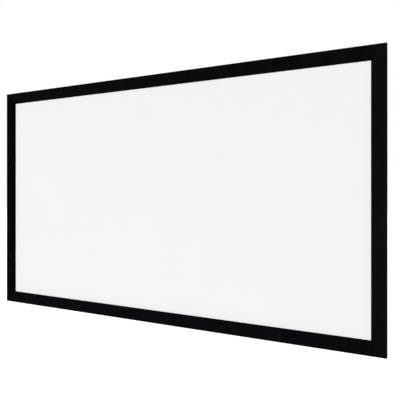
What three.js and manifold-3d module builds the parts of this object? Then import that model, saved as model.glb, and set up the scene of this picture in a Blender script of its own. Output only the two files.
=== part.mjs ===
// A fixed frame projector screen that hangs on a wall. Velvet covered aluminium rails with mitred
// corners stand round one flat sheet of matt white PVC, which springs pull taut from behind.
// Millimetres. X runs to the right as the audience sees it, Y from the audience to the wall, Z up.
// The origin is the middle of the whole screen, wall brackets included.

import * as THREE from "three";
import { mergeVertices } from "three/addons/utils/BufferGeometryUtils.js";
import Module from "manifold-3d";

// Picture area that stays uncovered: 120 inches across the diagonal, 16 to 9
const VIEW_WIDTH = 2657;
const VIEW_HEIGHT = 1494;

// Rail section. The widths below add up to a border of 80
const WALL = 1.6;
const CHANNEL_WIDTH = 31.4;
const CHANNEL_DEPTH = 8.4;
const CHANNEL_OUTER_LIP = 7.4;
const CHANNEL_INNER_LIP = 10;
const HOOK_SLOT = 3.8;
const LEDGE_RISE = 0.8;
const LEDGE_TO_ROD = 26.6;
const ROD_TO_VIEW = 14;
const BEVEL_WIDTH = 20;
const BEVEL_DEPTH = 17.5;
const BEVEL_TO_WEB = 4.4;
const LIP_EDGE = 2.1;

// Velvet cover
const COVER_THICKNESS = 0.7;
const COVER_TUCK = 6;
const OUTER_EDGE_RADIUS = 2;
const BEVEL_EDGE_RADIUS = 3;
const LIP_EDGE_RADIUS = 0.6;

// Projection sheet, its rod sleeves and the notches where springs reach the rods
const SHEET_THICKNESS = 0.4;
const SHEET_GAP = 0.4;
const ROD_DIAMETER = 5;
const ROD_END_FROM_EDGE = 82;
const ROD_JOINT_GAP = 1;
const SLEEVE_END_FROM_EDGE = 100;
const SLEEVE_WELD_REACH = 10.5;
const NOTCH_LENGTH = 24;
const NOTCH_MARGIN = 1.5;

// Tension springs
const SPRINGS_ALONG = 8;
const SPRINGS_UP = 6;
const SPRING_WIRE = 1.2;
const SPRING_DIAMETER = 8;
const HOOK_START_DEG = 190;
const HOOK_END_DEG = -20;

// Corner brackets, splice bars and their set screws, all inside the rails' back channel
const INSERT_THICKNESS = 6;
const CORNER_LEG = 130;
const CORNER_SCREWS = [62, 108];
const SPLICE_LENGTH = 240;
const SPLICE_SCREWS = [-95, -35, 35, 95];
const SET_SCREW_DIAMETER = 6;
const SOCKET_WIDTH = 3.4;
const SOCKET_DEPTH = 3;

// Centre support bar and the clips at its ends
const BAR_WIDTH = 30;
const BAR_DEPTH = 8.5;
const BAR_WALL = 1.5;
const BAR_CLEARANCE = 1.1;
const CLIP_WIDTH = 26;
const CLIP_LENGTH = 44;
const CLIP_THICKNESS = 1.5;
const CLIP_SCREWS = [24, 36];
const CLIP_SCREW_DIAMETER = 3.5;
const CLIP_SCREW_LENGTH = 5;
const CLIP_HEAD_DIAMETER = 7;
const CLIP_HEAD_HEIGHT = 2;

// Wall brackets
const BRACKET_WIDTH = 80;
const BRACKET_HEIGHT = 64.7;
const BRACKET_THICKNESS = 2;
const BRACKET_HOOK_ROOM = 2.4;
const BRACKET_PITCHES = 3;
const WALL_STANDOFF = 8;
const BRACKET_HOLE_DIAMETER = 6.5;
const BRACKET_HOLE_SPACING = 44;
const BRACKET_SLOT_LENGTH = 16;
const BRACKET_SLOT_DROP = 18;
const BRACKET_HOLE_DROP = 48;

// Running gap left between pieces that touch, and between rail ends
const FIT_GAP = 0.3;
const SEAM_GAP = 0.3;

// How far a cutting shape runs past the face it cuts through
const CUTTER_OVERRUN = 1;

// Fineness of round shapes
const EDGE_STEPS = 3;
const ROD_SIDES = 12;
const SLEEVE_STEPS = 6;
const SPRING_SIDES = 10;
const WIRE_SIDES = 5;
const HOOK_STEPS = 7;
const SCREW_SIDES = 12;
const SOCKET_SIDES = 6;
const SLOT_STEPS = 6;

const QUARTER_TURN = Math.PI / 2;
const HALF_TURN = Math.PI;
const FULL_TURN = 2 * Math.PI;

// The rail section is drawn in two sizes: across, from the frame's outer edge inwards, and deep,
// from the velvet's front face towards the wall
const coverInset = COVER_THICKNESS + FIT_GAP;
const channelStart = coverInset + WALL;
const channelEnd = channelStart + CHANNEL_WIDTH;
const partitionFace = channelEnd + WALL;
const ledgeOuter = partitionFace + HOOK_SLOT;
const ledgeInner = ledgeOuter + WALL;
const rodAcross = ledgeOuter + LEDGE_TO_ROD;
const borderWidth = rodAcross + ROD_TO_VIEW;
const mouthStart = channelStart + CHANNEL_OUTER_LIP;
const mouthEnd = channelEnd - CHANNEL_INNER_LIP;
const mouthMiddle = (mouthStart + mouthEnd) / 2;
const webOuter = borderWidth - BEVEL_WIDTH + BEVEL_TO_WEB;
const webInner = webOuter + WALL;
const insertStart = channelStart + FIT_GAP;
const insertEnd = channelEnd - FIT_GAP;
const clipStart = mouthEnd - FIT_GAP - CLIP_THICKNESS;

const lipBack = BEVEL_DEPTH + LIP_EDGE;
const footBack = lipBack - coverInset;
const frontWallBack = coverInset + WALL;
const sheetFront = lipBack + SHEET_GAP;
const sheetBack = sheetFront + SHEET_THICKNESS;
const pocketRadius = ROD_DIAMETER / 2 + FIT_GAP;
const sleeveRadius = pocketRadius + SHEET_THICKNESS;
const rodDeep = sheetBack + pocketRadius;
const ledgeTop = rodDeep + LEDGE_RISE;
const springRadius = SPRING_DIAMETER / 2;
const springHookRadius = (SPRING_DIAMETER - SPRING_WIRE) / 2;
const notchEnd = rodAcross + springRadius + NOTCH_MARGIN;
const shelfBack = rodDeep - springRadius - 2 * FIT_GAP;
const shelfFront = shelfBack - WALL;
const barFront = rodDeep + sleeveRadius + BAR_CLEARANCE;
const railDepth = barFront + BAR_DEPTH;
const channelBack = railDepth - WALL;
const channelFront = channelBack - CHANNEL_DEPTH;
const insertBack = channelBack - FIT_GAP;
const insertFront = insertBack - INSERT_THICKNESS;
const wallPlane = railDepth + WALL_STANDOFF;

const outerWidth = VIEW_WIDTH + 2 * borderWidth;
const outerHeight = VIEW_HEIGHT + 2 * borderWidth;
const frontFaceY = -wallPlane / 2;
const springPitchAlong = VIEW_WIDTH / SPRINGS_ALONG;
const springPitchUp = VIEW_HEIGHT / SPRINGS_UP;

const VELVET = { color: 0x0b0b0d, roughness: 0.95, metalness: 0 };
const ANODISED = { color: 0x17181a, roughness: 0.45, metalness: 0.7 };
const SCREEN_WHITE = { color: 0xf2f2f0, roughness: 0.9, metalness: 0 };
const FIBREGLASS = { color: 0xe8e2cc, roughness: 0.4, metalness: 0 };
const SPRING_STEEL = { color: 0xb9bcc0, roughness: 0.3, metalness: 1 };
const ZINC_STEEL = { color: 0xa9adb2, roughness: 0.4, metalness: 1 };
const BARE_ALUMINIUM = { color: 0xc6c8ca, roughness: 0.4, metalness: 1 };

const wasm = await Module();
wasm.setup();

// Makes a solid that can be joined and cut from a closed geometry
function toSolid(geometry) {
  const bare = geometry.clone();
  bare.deleteAttribute("normal");
  bare.deleteAttribute("uv");
  const merged = mergeVertices(bare);
  const mesh = new wasm.Mesh({
    numProp: 3,
    vertProperties: Float32Array.from(merged.attributes.position.array),
    triVerts: Uint32Array.from(merged.index.array),
  });
  return new wasm.Manifold(mesh);
}

// Turns a solid back into a geometry
function toGeometry(solid) {
  const mesh = solid.getMesh();
  const geometry = new THREE.BufferGeometry();
  geometry.setAttribute("position", new THREE.BufferAttribute(mesh.vertProperties, 3));
  geometry.setIndex(new THREE.BufferAttribute(mesh.triVerts, 1));
  geometry.computeVertexNormals();
  return geometry;
}

// Joins the first geometry with those in added, then cuts away those in removed
function combine(base, added, removed = []) {
  let solid = toSolid(base);
  for (const geometry of added) {
    solid = solid.add(toSolid(geometry));
  }
  for (const geometry of removed) {
    solid = solid.subtract(toSolid(geometry));
  }
  return toGeometry(solid);
}

function makeMesh(name, geometry, finish) {
  const mesh = new THREE.Mesh(geometry, new THREE.MeshStandardMaterial(finish));
  mesh.name = name;
  return mesh;
}

function shapeFrom(points) {
  return new THREE.Shape(points.map(([x, y]) => new THREE.Vector2(x, y)));
}

// Moves an open line of points sideways to its left, keeping its corners sharp
function insetLine(points, distance) {
  const normals = [];
  for (let i = 0; i + 1 < points.length; i += 1) {
    const run = points[i + 1][0] - points[i][0];
    const rise = points[i + 1][1] - points[i][1];
    const length = Math.hypot(run, rise);
    normals.push([-rise / length, run / length]);
  }
  return points.map(([x, y], i) => {
    const before = normals[Math.max(i - 1, 0)];
    const after = normals[Math.min(i, normals.length - 1)];
    const spread = 1 + before[0] * after[0] + before[1] * after[1];
    const shiftX = (before[0] + after[0]) * distance / spread;
    const shiftY = (before[1] + after[1]) * distance / spread;
    return [x + shiftX, y + shiftY];
  });
}

// Rounds the corners of an open line of points, one radius for each point, 0 for a sharp one
function roundCorners(points, radii) {
  const rounded = [];
  points.forEach((corner, i) => {
    if (radii[i] <= 0) {
      rounded.push(corner);
      return;
    }
    const here = new THREE.Vector2(...corner);
    const back = new THREE.Vector2(...points[i - 1]).sub(here).normalize();
    const ahead = new THREE.Vector2(...points[i + 1]).sub(here).normalize();
    const halfAngle = Math.acos(THREE.MathUtils.clamp(back.dot(ahead), -1, 1)) / 2;
    const trim = radii[i] / Math.tan(halfAngle);
    const start = here.clone().addScaledVector(back, trim);
    const end = here.clone().addScaledVector(ahead, trim);
    const middleDirection = back.clone().add(ahead).normalize();
    const centre = here.clone().addScaledVector(middleDirection, radii[i] / Math.sin(halfAngle));
    const from = start.clone().sub(centre).angle();
    let sweep = end.clone().sub(centre).angle() - from;
    sweep -= Math.round(sweep / FULL_TURN) * FULL_TURN;
    for (let step = 0; step <= EDGE_STEPS; step += 1) {
      const angle = from + sweep * step / EDGE_STEPS;
      rounded.push([centre.x + radii[i] * Math.cos(angle), centre.y + radii[i] * Math.sin(angle)]);
    }
  });
  return rounded;
}

// The velvet's outer face in section, with the radius of each corner
const coverCorners = [
  [0, railDepth],
  [0, 0],
  [borderWidth - BEVEL_WIDTH, 0],
  [borderWidth, BEVEL_DEPTH],
  [borderWidth, lipBack],
  [borderWidth - COVER_TUCK, lipBack],
];
const coverRadii = [0, OUTER_EDGE_RADIUS, BEVEL_EDGE_RADIUS, LIP_EDGE_RADIUS, LIP_EDGE_RADIUS, 0];

function coverLine(inset) {
  const corners = insetLine(coverCorners, inset);
  const radii = coverRadii.map((radius) => Math.max(radius - inset, 0));
  return roundCorners(corners, radii);
}

function coverShape() {
  const outside = coverLine(0);
  const inside = coverLine(COVER_THICKNESS).reverse();
  return shapeFrom([...outside, ...inside]);
}

// The aluminium section: a box chamber, the bracket channel behind it, the spring ledge on the
// partition and a bevelled lip that stands on a web
function railShape() {
  const bevelBack = insetLine(coverCorners, coverInset + WALL).slice(2, 4);
  const [[startAcross, startDeep], [endAcross, endDeep]] = bevelBack;
  const slope = (endDeep - startDeep) / (endAcross - startAcross);
  const footFront = footBack - WALL;
  const shape = shapeFrom([
    ...coverLine(coverInset).slice(0, -1),
    [webOuter, footBack],
    [webOuter, startDeep + (webOuter - startAcross) * slope],
    [startAcross, startDeep],
    [partitionFace, frontWallBack],
    [partitionFace, shelfFront],
    [ledgeInner, shelfFront],
    [ledgeInner, ledgeTop],
    [ledgeOuter, ledgeTop],
    [ledgeOuter, shelfBack],
    [partitionFace, shelfBack],
    [partitionFace, railDepth],
    [mouthEnd, railDepth],
    [mouthEnd, channelBack],
    [channelEnd, channelBack],
    [channelEnd, channelFront],
    [channelStart, channelFront],
    [channelStart, channelBack],
    [mouthStart, channelBack],
    [mouthStart, railDepth],
  ]);
  const chamber = shapeFrom([
    [channelStart, frontWallBack],
    [channelStart, channelFront - WALL],
    [channelEnd, channelFront - WALL],
    [channelEnd, frontWallBack],
  ]);
  const lipChamber = shapeFrom([
    [webInner, startDeep + (webInner - startAcross) * slope],
    [webInner, footFront],
    [startAcross + (footFront - startDeep) / slope, footFront],
  ]);
  shape.holes.push(chamber, lipChamber);
  return shape;
}

// Extrudes a section along a side of the frame: X along the side, Y deep, Z outwards from 0 at the
// frame's outer edge
function alongSide(shape, from, to) {
  const geometry = new THREE.ExtrudeGeometry(shape, { depth: to - from, bevelEnabled: false });
  geometry.rotateY(QUARTER_TURN);
  geometry.translate(from, 0, 0);
  return geometry;
}

// Pulls the ends of a side piece back to the 45 degree planes of the frame's corners
function mitreEnds(geometry, sideLength) {
  const retreat = SEAM_GAP * Math.SQRT1_2;
  const cornerX = sideLength / 2;
  const place = geometry.attributes.position;
  for (let i = 0; i < place.count; i += 1) {
    const x = place.getX(i);
    const across = -place.getZ(i);
    if (Math.abs(x) > cornerX / 2) {
      place.setX(i, x - Math.sign(x) * (across + retreat));
    }
  }
  geometry.computeVertexNormals();
  return geometry;
}

function plate(shape, front, back) {
  const geometry = new THREE.ExtrudeGeometry(shape, { depth: back - front, bevelEnabled: false });
  geometry.rotateX(QUARTER_TURN);
  geometry.translate(0, back, 0);
  return geometry;
}

function pin(diameter, front, back, x, across, sides = SCREW_SIDES) {
  const geometry = new THREE.CylinderGeometry(diameter / 2, diameter / 2, back - front, sides);
  geometry.translate(x, (front + back) / 2, -across);
  return geometry;
}

// Set screws through an insert at the given places, and the hexagon sockets in their ends
function setScrews(places) {
  const socketDiameter = SOCKET_WIDTH / Math.cos(Math.PI / SOCKET_SIDES);
  const floor = channelFront + FIT_GAP;
  const socketFront = insertBack - SOCKET_DEPTH;
  const socketBack = insertBack + CUTTER_OVERRUN;
  const bodies = places.map(([x, across]) => pin(SET_SCREW_DIAMETER, floor, insertBack, x, across));
  const sockets = places.map(
    ([x, across]) => pin(socketDiameter, socketFront, socketBack, x, across, SOCKET_SIDES),
  );
  return { bodies, sockets };
}

function cornerBracketGeometry() {
  const shape = shapeFrom([
    [insertStart, -insertStart],
    [CORNER_LEG, -insertStart],
    [CORNER_LEG, -insertEnd],
    [insertEnd, -insertEnd],
    [insertEnd, -CORNER_LEG],
    [insertStart, -CORNER_LEG],
  ]);
  const places = CORNER_SCREWS.flatMap((reach) => [[reach, mouthMiddle], [mouthMiddle, reach]]);
  const screws = setScrews(places);
  return combine(plate(shape, insertFront, insertBack), screws.bodies, screws.sockets);
}

function spliceBarGeometry() {
  const half = SPLICE_LENGTH / 2;
  const shape = shapeFrom([
    [-half, -insertStart],
    [half, -insertStart],
    [half, -insertEnd],
    [-half, -insertEnd],
  ]);
  const screws = setScrews(SPLICE_SCREWS.map((x) => [x, mouthMiddle]));
  return combine(plate(shape, insertFront, insertBack), screws.bodies, screws.sockets);
}

// A hook of spring wire round a centre in the section plane, from one angle to another
function hookGeometry(centreAcross, facing) {
  const points = [];
  for (let step = 0; step <= HOOK_STEPS; step += 1) {
    const turn = THREE.MathUtils.lerp(HOOK_START_DEG, HOOK_END_DEG, step / HOOK_STEPS);
    const angle = THREE.MathUtils.degToRad(turn);
    const across = centreAcross + facing * springHookRadius * Math.cos(angle);
    const deep = rodDeep + springHookRadius * Math.sin(angle);
    points.push(new THREE.Vector3(0, deep, -across));
  }
  const ring = Array.from({ length: WIRE_SIDES }, (_, side) => {
    const angle = side / WIRE_SIDES * FULL_TURN;
    return [SPRING_WIRE / 2 * Math.cos(angle), SPRING_WIRE / 2 * Math.sin(angle)];
  });
  const path = new THREE.CatmullRomCurve3(points);
  return new THREE.ExtrudeGeometry(shapeFrom(ring), { steps: HOOK_STEPS, extrudePath: path });
}

// A closely wound body with a hook over the ledge and a hook round the rod
function springGeometry() {
  const ledgeReach = springHookRadius - SPRING_WIRE / 2 - FIT_GAP;
  const ledgeHook = ledgeOuter + Math.sqrt(ledgeReach ** 2 - LEDGE_RISE ** 2);
  const bodyStart = ledgeHook + springHookRadius;
  const bodyEnd = rodAcross - springHookRadius;
  const length = bodyEnd - bodyStart;
  const body = new THREE.CylinderGeometry(springRadius, springRadius, length, SPRING_SIDES);
  body.rotateX(QUARTER_TURN);
  body.translate(0, rodDeep, -(bodyStart + bodyEnd) / 2);
  return combine(body, [hookGeometry(ledgeHook, -1), hookGeometry(rodAcross, 1)]);
}

// The welded sleeve round a rod in section: a loop that closes back onto the sheet in a long taper
function sleeveLoop(radius, weldAcross) {
  const points = [[weldAcross, rodDeep - pocketRadius]];
  const reach = weldAcross - rodAcross;
  const toWeld = Math.atan2(-pocketRadius, reach);
  const opening = Math.acos(radius / Math.hypot(reach, pocketRadius));
  const from = toWeld + opening;
  const to = 3 * QUARTER_TURN;
  for (let step = 0; step <= SLEEVE_STEPS; step += 1) {
    const angle = from + (to - from) * step / SLEEVE_STEPS;
    points.push([rodAcross + radius * Math.cos(angle), rodDeep + radius * Math.sin(angle)]);
  }
  return points;
}

function sleeveShape() {
  const innerWeld = rodAcross + SLEEVE_WELD_REACH;
  const slope = Math.asin(pocketRadius / Math.hypot(SLEEVE_WELD_REACH, pocketRadius)) * 2;
  const outerWeld = innerWeld + SHEET_THICKNESS / Math.sin(slope);
  const shape = shapeFrom([...sleeveLoop(sleeveRadius, outerWeld), [outerWeld, sheetFront]]);
  shape.holes.push(shapeFrom(sleeveLoop(pocketRadius, innerWeld)));
  return shape;
}

function springPlaces(side) {
  const middle = (side.springs - 1) / 2;
  return Array.from({ length: side.springs }, (_, i) => (i - middle) * side.springPitch);
}

// The sheet with a row of sleeves along each side, broken by a notch at every spring
function sheetGeometry(sides) {
  const panel = new THREE.BoxGeometry(
    outerWidth - 2 * notchEnd,
    SHEET_THICKNESS,
    outerHeight - 2 * notchEnd,
  );
  panel.translate(0, frontFaceY + (sheetFront + sheetBack) / 2, 0);
  const sleeves = [];
  for (const side of sides) {
    const end = side.length / 2 - SLEEVE_END_FROM_EDGE;
    const starts = springPlaces(side).map((place) => place + NOTCH_LENGTH / 2);
    const stops = springPlaces(side).map((place) => place - NOTCH_LENGTH / 2);
    [-end, ...starts].forEach((start, i) => {
      const sleeve = alongSide(sleeveShape(), start, [...stops, end][i]);
      sleeve.applyMatrix4(side.group.matrix);
      sleeves.push(sleeve);
    });
  }
  return combine(panel, sleeves);
}

function rodGeometry(from, to) {
  const radius = ROD_DIAMETER / 2;
  const geometry = new THREE.CylinderGeometry(radius, radius, to - from, ROD_SIDES);
  geometry.rotateZ(QUARTER_TURN);
  geometry.translate((from + to) / 2, rodDeep, -rodAcross);
  return geometry;
}

// A folded steel plate: its hook stands behind the channel's outer lip, its foot lies on the wall
function wallBracketGeometry() {
  const hookTip = channelStart + BRACKET_HOOK_ROOM;
  const webStart = mouthStart + FIT_GAP;
  const webEnd = webStart + BRACKET_THICKNESS;
  const hookBack = channelBack - FIT_GAP;
  const hookFront = hookBack - BRACKET_THICKNESS;
  const plateFront = wallPlane - BRACKET_THICKNESS;
  const cutFront = plateFront - CUTTER_OVERRUN;
  const cutBack = wallPlane + CUTTER_OVERRUN;
  const section = shapeFrom([
    [hookTip, hookFront],
    [webEnd, hookFront],
    [webEnd, plateFront],
    [webStart + BRACKET_HEIGHT, plateFront],
    [webStart + BRACKET_HEIGHT, wallPlane],
    [webStart, wallPlane],
    [webStart, hookBack],
    [hookTip, hookBack],
  ]);
  const body = alongSide(section, -BRACKET_WIDTH / 2, BRACKET_WIDTH / 2);
  const cutters = [];
  for (const x of [-BRACKET_HOLE_SPACING / 2, BRACKET_HOLE_SPACING / 2]) {
    const across = webStart + BRACKET_HOLE_DROP;
    cutters.push(pin(BRACKET_HOLE_DIAMETER, cutFront, cutBack, x, across));
    cutters.push(slotCutter(x, webStart + BRACKET_SLOT_DROP, cutFront, cutBack));
  }
  return combine(body, [], cutters);
}

function slotCutter(x, across, front, back) {
  const radius = BRACKET_HOLE_DIAMETER / 2;
  const straight = (BRACKET_SLOT_LENGTH - BRACKET_HOLE_DIAMETER) / 2;
  const points = [];
  for (const [centre, start] of [[straight, -QUARTER_TURN], [-straight, QUARTER_TURN]]) {
    for (let step = 0; step <= SLOT_STEPS; step += 1) {
      const angle = start + step / SLOT_STEPS * HALF_TURN;
      points.push([x + centre + radius * Math.cos(angle), radius * Math.sin(angle) - across]);
    }
  }
  return plate(shapeFrom(points), front, back);
}

// An aluminium channel, open towards the sheet, that stands between the top and bottom rails
function supportBarGeometry() {
  const half = BAR_WIDTH / 2;
  const inside = half - BAR_WALL;
  const webFront = railDepth - BAR_WALL;
  const cutFront = webFront - CUTTER_OVERRUN;
  const cutBack = railDepth + CUTTER_OVERRUN;
  const section = shapeFrom([
    [-half, -barFront],
    [-inside, -barFront],
    [-inside, -webFront],
    [inside, -webFront],
    [inside, -barFront],
    [half, -barFront],
    [half, -railDepth],
    [-half, -railDepth],
  ]);
  const end = outerHeight / 2 - partitionFace - FIT_GAP;
  const bar = new THREE.ExtrudeGeometry(section, { depth: 2 * end, bevelEnabled: false });
  bar.rotateX(HALF_TURN);
  bar.translate(0, 0, end);
  const holeDiameter = CLIP_SCREW_DIAMETER + 2 * FIT_GAP;
  const holes = [];
  for (const place of CLIP_SCREWS) {
    const fromMiddle = outerHeight / 2 - clipStart - place;
    holes.push(pin(holeDiameter, cutFront, cutBack, 0, fromMiddle));
    holes.push(pin(holeDiameter, cutFront, cutBack, 0, -fromMiddle));
  }
  return combine(bar, [], holes);
}

// A clip that hooks into the channel's mouth and is screwed to the end of the support bar
function clipGeometry() {
  const plateFront = railDepth + FIT_GAP;
  const plateBack = plateFront + CLIP_THICKNESS;
  const tongueFront = channelBack + FIT_GAP;
  const section = shapeFrom([
    [clipStart, tongueFront],
    [clipStart + CLIP_THICKNESS, tongueFront],
    [clipStart + CLIP_THICKNESS, plateFront],
    [clipStart + CLIP_LENGTH, plateFront],
    [clipStart + CLIP_LENGTH, plateBack],
    [clipStart, plateBack],
  ]);
  const screwTip = plateBack - CLIP_SCREW_LENGTH;
  const headFront = plateBack - FIT_GAP;
  const headBack = plateBack + CLIP_HEAD_HEIGHT;
  const screws = [];
  for (const place of CLIP_SCREWS) {
    const across = clipStart + place;
    screws.push(pin(CLIP_SCREW_DIAMETER, screwTip, plateBack, 0, across));
    screws.push(pin(CLIP_HEAD_DIAMETER, headFront, headBack, 0, across));
  }
  return combine(alongSide(section, -CLIP_WIDTH / 2, CLIP_WIDTH / 2), screws);
}

// One side of the frame as a group: X along it, Y deep, Z outwards from the outer edge
function makeSide(name, turns, isAlong) {
  const length = isAlong ? outerWidth : outerHeight;
  const edge = (isAlong ? outerHeight : outerWidth) / 2;
  const angle = turns * QUARTER_TURN;
  const group = new THREE.Group();
  group.position.set(edge * Math.sin(angle), frontFaceY, edge * Math.cos(angle));
  group.rotation.y = angle;
  group.updateMatrix();
  return {
    name,
    length,
    isAlong,
    group,
    halfNames: turns === 0 ? ["left", "right"] : ["right", "left"],
    springs: isAlong ? SPRINGS_ALONG : SPRINGS_UP,
    springPitch: isAlong ? springPitchAlong : springPitchUp,
  };
}

// Each long side is two halves that meet in the middle; each short side is one length
function sidePieces(side) {
  const end = side.length / 2;
  const rodEnd = end - ROD_END_FROM_EDGE;
  if (!side.isAlong) {
    return [{ name: side.name, from: -end, to: end, rodFrom: -rodEnd, rodTo: rodEnd }];
  }
  const [first, second] = side.halfNames;
  const seam = SEAM_GAP / 2;
  const rodSeam = ROD_JOINT_GAP / 2;
  return [
    { name: `${side.name}_${first}`, from: -end, to: -seam, rodFrom: -rodEnd, rodTo: -rodSeam },
    { name: `${side.name}_${second}`, from: seam, to: end, rodFrom: rodSeam, rodTo: rodEnd },
  ];
}

function addRails(side) {
  for (const piece of sidePieces(side)) {
    const rail = mitreEnds(alongSide(railShape(), piece.from, piece.to), side.length);
    const cover = mitreEnds(alongSide(coverShape(), piece.from, piece.to), side.length);
    const rod = rodGeometry(piece.rodFrom, piece.rodTo);
    side.group.add(makeMesh(`rail_${piece.name}`, rail, ANODISED));
    side.group.add(makeMesh(`velvet_${piece.name}`, cover, VELVET));
    side.group.add(makeMesh(`tension_rod_${piece.name}`, rod, FIBREGLASS));
  }
}

function addSprings(side, geometry) {
  springPlaces(side).forEach((place, i) => {
    const spring = makeMesh(`spring_${side.name}_${i + 1}`, geometry, SPRING_STEEL);
    spring.position.x = place;
    side.group.add(spring);
  });
}

// Splice bar, support clip and wall brackets of the top or bottom side
function addLongSideHardware(side, geometries) {
  side.group.add(makeMesh(`splice_bar_${side.name}`, geometries.splice, ZINC_STEEL));
  side.group.add(makeMesh(`support_clip_${side.name}`, geometries.clip, ZINC_STEEL));
  const reach = BRACKET_PITCHES * side.springPitch;
  [-reach, reach].forEach((place, i) => {
    const name = `wall_bracket_${side.name}_${side.halfNames[i]}`;
    const bracket = makeMesh(name, geometries.bracket, ZINC_STEEL);
    bracket.position.x = place;
    side.group.add(bracket);
  });
}

function addCornerBrackets(screen) {
  const geometry = cornerBracketGeometry();
  const names = ["top_left", "top_right", "bottom_right", "bottom_left"];
  names.forEach((name, turns) => {
    const bracket = makeMesh(`corner_bracket_${name}`, geometry, ZINC_STEEL);
    const isRight = turns === 1 || turns === 2;
    const isTop = turns < 2;
    const x = (isRight ? 1 : -1) * outerWidth / 2;
    const z = (isTop ? 1 : -1) * outerHeight / 2;
    bracket.position.set(x, frontFaceY, z);
    bracket.rotation.y = turns * QUARTER_TURN;
    screen.add(bracket);
  });
}

function makeScreen() {
  const screen = new THREE.Group();
  const sides = [
    makeSide("top", 0, true),
    makeSide("right", 1, false),
    makeSide("bottom", 2, true),
    makeSide("left", 3, false),
  ];
  const spring = springGeometry();
  const geometries = {
    splice: spliceBarGeometry(),
    clip: clipGeometry(),
    bracket: wallBracketGeometry(),
  };
  for (const side of sides) {
    addRails(side);
    addSprings(side, spring);
    if (side.isAlong) {
      addLongSideHardware(side, geometries);
    }
    screen.add(side.group);
  }
  addCornerBrackets(screen);
  screen.add(makeMesh("screen_sheet", sheetGeometry(sides), SCREEN_WHITE));
  const bar = makeMesh("support_bar", supportBarGeometry(), BARE_ALUMINIUM);
  bar.position.y = frontFaceY;
  screen.add(bar);
  return screen;
}

export default makeScreen();
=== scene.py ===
"""Dresses a fixed frame projector screen and sets it before a camera.

Every plain solid gives its place to a finished piece. The extrusions are copies of their solids
with the edges broken. The velvet covers, the sheet with its rods and springs, the corner and
splice plates, the wall brackets and the support with its clips are modelled here. Lengths are in
metres. X runs to the right as the audience sees the screen, Y from the audience to the wall, and
Z up.
"""

import logging
import math
from abc import ABC, abstractmethod
from collections.abc import Callable, Mapping, Sequence
from dataclasses import dataclass, field
from enum import Enum

import bmesh
import bpy
from mathutils import Matrix, Vector


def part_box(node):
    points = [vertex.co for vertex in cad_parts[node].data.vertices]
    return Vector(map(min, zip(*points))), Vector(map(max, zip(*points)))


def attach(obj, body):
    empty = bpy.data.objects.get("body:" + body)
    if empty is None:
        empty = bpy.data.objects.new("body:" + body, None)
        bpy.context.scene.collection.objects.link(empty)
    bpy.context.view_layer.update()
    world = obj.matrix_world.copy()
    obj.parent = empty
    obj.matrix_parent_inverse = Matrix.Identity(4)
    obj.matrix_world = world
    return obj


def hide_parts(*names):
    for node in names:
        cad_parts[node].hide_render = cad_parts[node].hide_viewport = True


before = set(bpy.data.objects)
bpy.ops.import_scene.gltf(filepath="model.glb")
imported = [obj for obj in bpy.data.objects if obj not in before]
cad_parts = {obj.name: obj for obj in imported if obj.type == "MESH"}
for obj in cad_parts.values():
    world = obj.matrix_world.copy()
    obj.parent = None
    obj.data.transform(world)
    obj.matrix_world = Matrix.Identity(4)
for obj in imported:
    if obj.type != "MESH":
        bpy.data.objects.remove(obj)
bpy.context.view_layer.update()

LOG = logging.getLogger("projector_screen")
BODY = "root"
MM = 0.001
QUARTER_TURN = math.pi / 2

# How near two points lie that count as one place in a selection
TOUCH = 0.05 * MM
# How near two vertices lie that are merged
DOUBLED = 0.002 * MM
# How near a vertex lies to a cut that counts as on it
ON_CUT = 0.001 * MM
# How far a cutter runs past what it cuts
OVERRUN = 1 * MM
# The angle below which neighbouring triangles are one flat face
COPLANAR = math.radians(0.5)
# The angle from which an edge is sharp enough to be broken
SHARP = math.radians(35)
# How many steps a broken edge has
BROKEN_STEPS = 2
# Blender's strongest pull of large faces on the normals of a shared edge
FLAT_WEIGHT = 100


class Side(Enum):
    """A side of the frame. Its value counts the quarter turns about Y from the top side."""

    TOP = 0
    RIGHT = 1
    BOTTOM = 2
    LEFT = 3

    @property
    def is_long(self) -> bool:
        """Tells whether the side runs along X."""
        return self in (Side.TOP, Side.BOTTOM)

    @property
    def word(self) -> str:
        """The side's name as the model's nodes spell it."""
        return self.name.lower()


class Grain(Enum):
    """The direction that a rod, a wire or brushed metal was drawn in."""

    ALONG_X = (1.0, 0.0, 0.0)
    ALONG_Z = (0.0, 0.0, 1.0)

    @property
    def words(self) -> str:
        """The direction in words."""
        return self.name.lower().replace("_", " ")

    def drawn_out(self, share: float) -> list[float]:
        """What a pattern's axes are multiplied by so that it runs out along the grain."""
        return [share if part else 1.0 for part in self.value]


class Crease(Enum):
    """The angle, in degrees, from which a kind of piece keeps its edges sharp in the shading."""

    SET_SCREW = 30
    VELVET = 35
    ROUND = 40
    PLATE = 50
    WIRE = 60


class Growth(Enum):
    """Where the thickness of a folded sheet goes, as the Solidify modifier's offset."""

    BOTH_WAYS = 0.0
    BEHIND = -1.0


GRAIN_OF_SIDE = {side: Grain.ALONG_X if side.is_long else Grain.ALONG_Z for side in Side}


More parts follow.
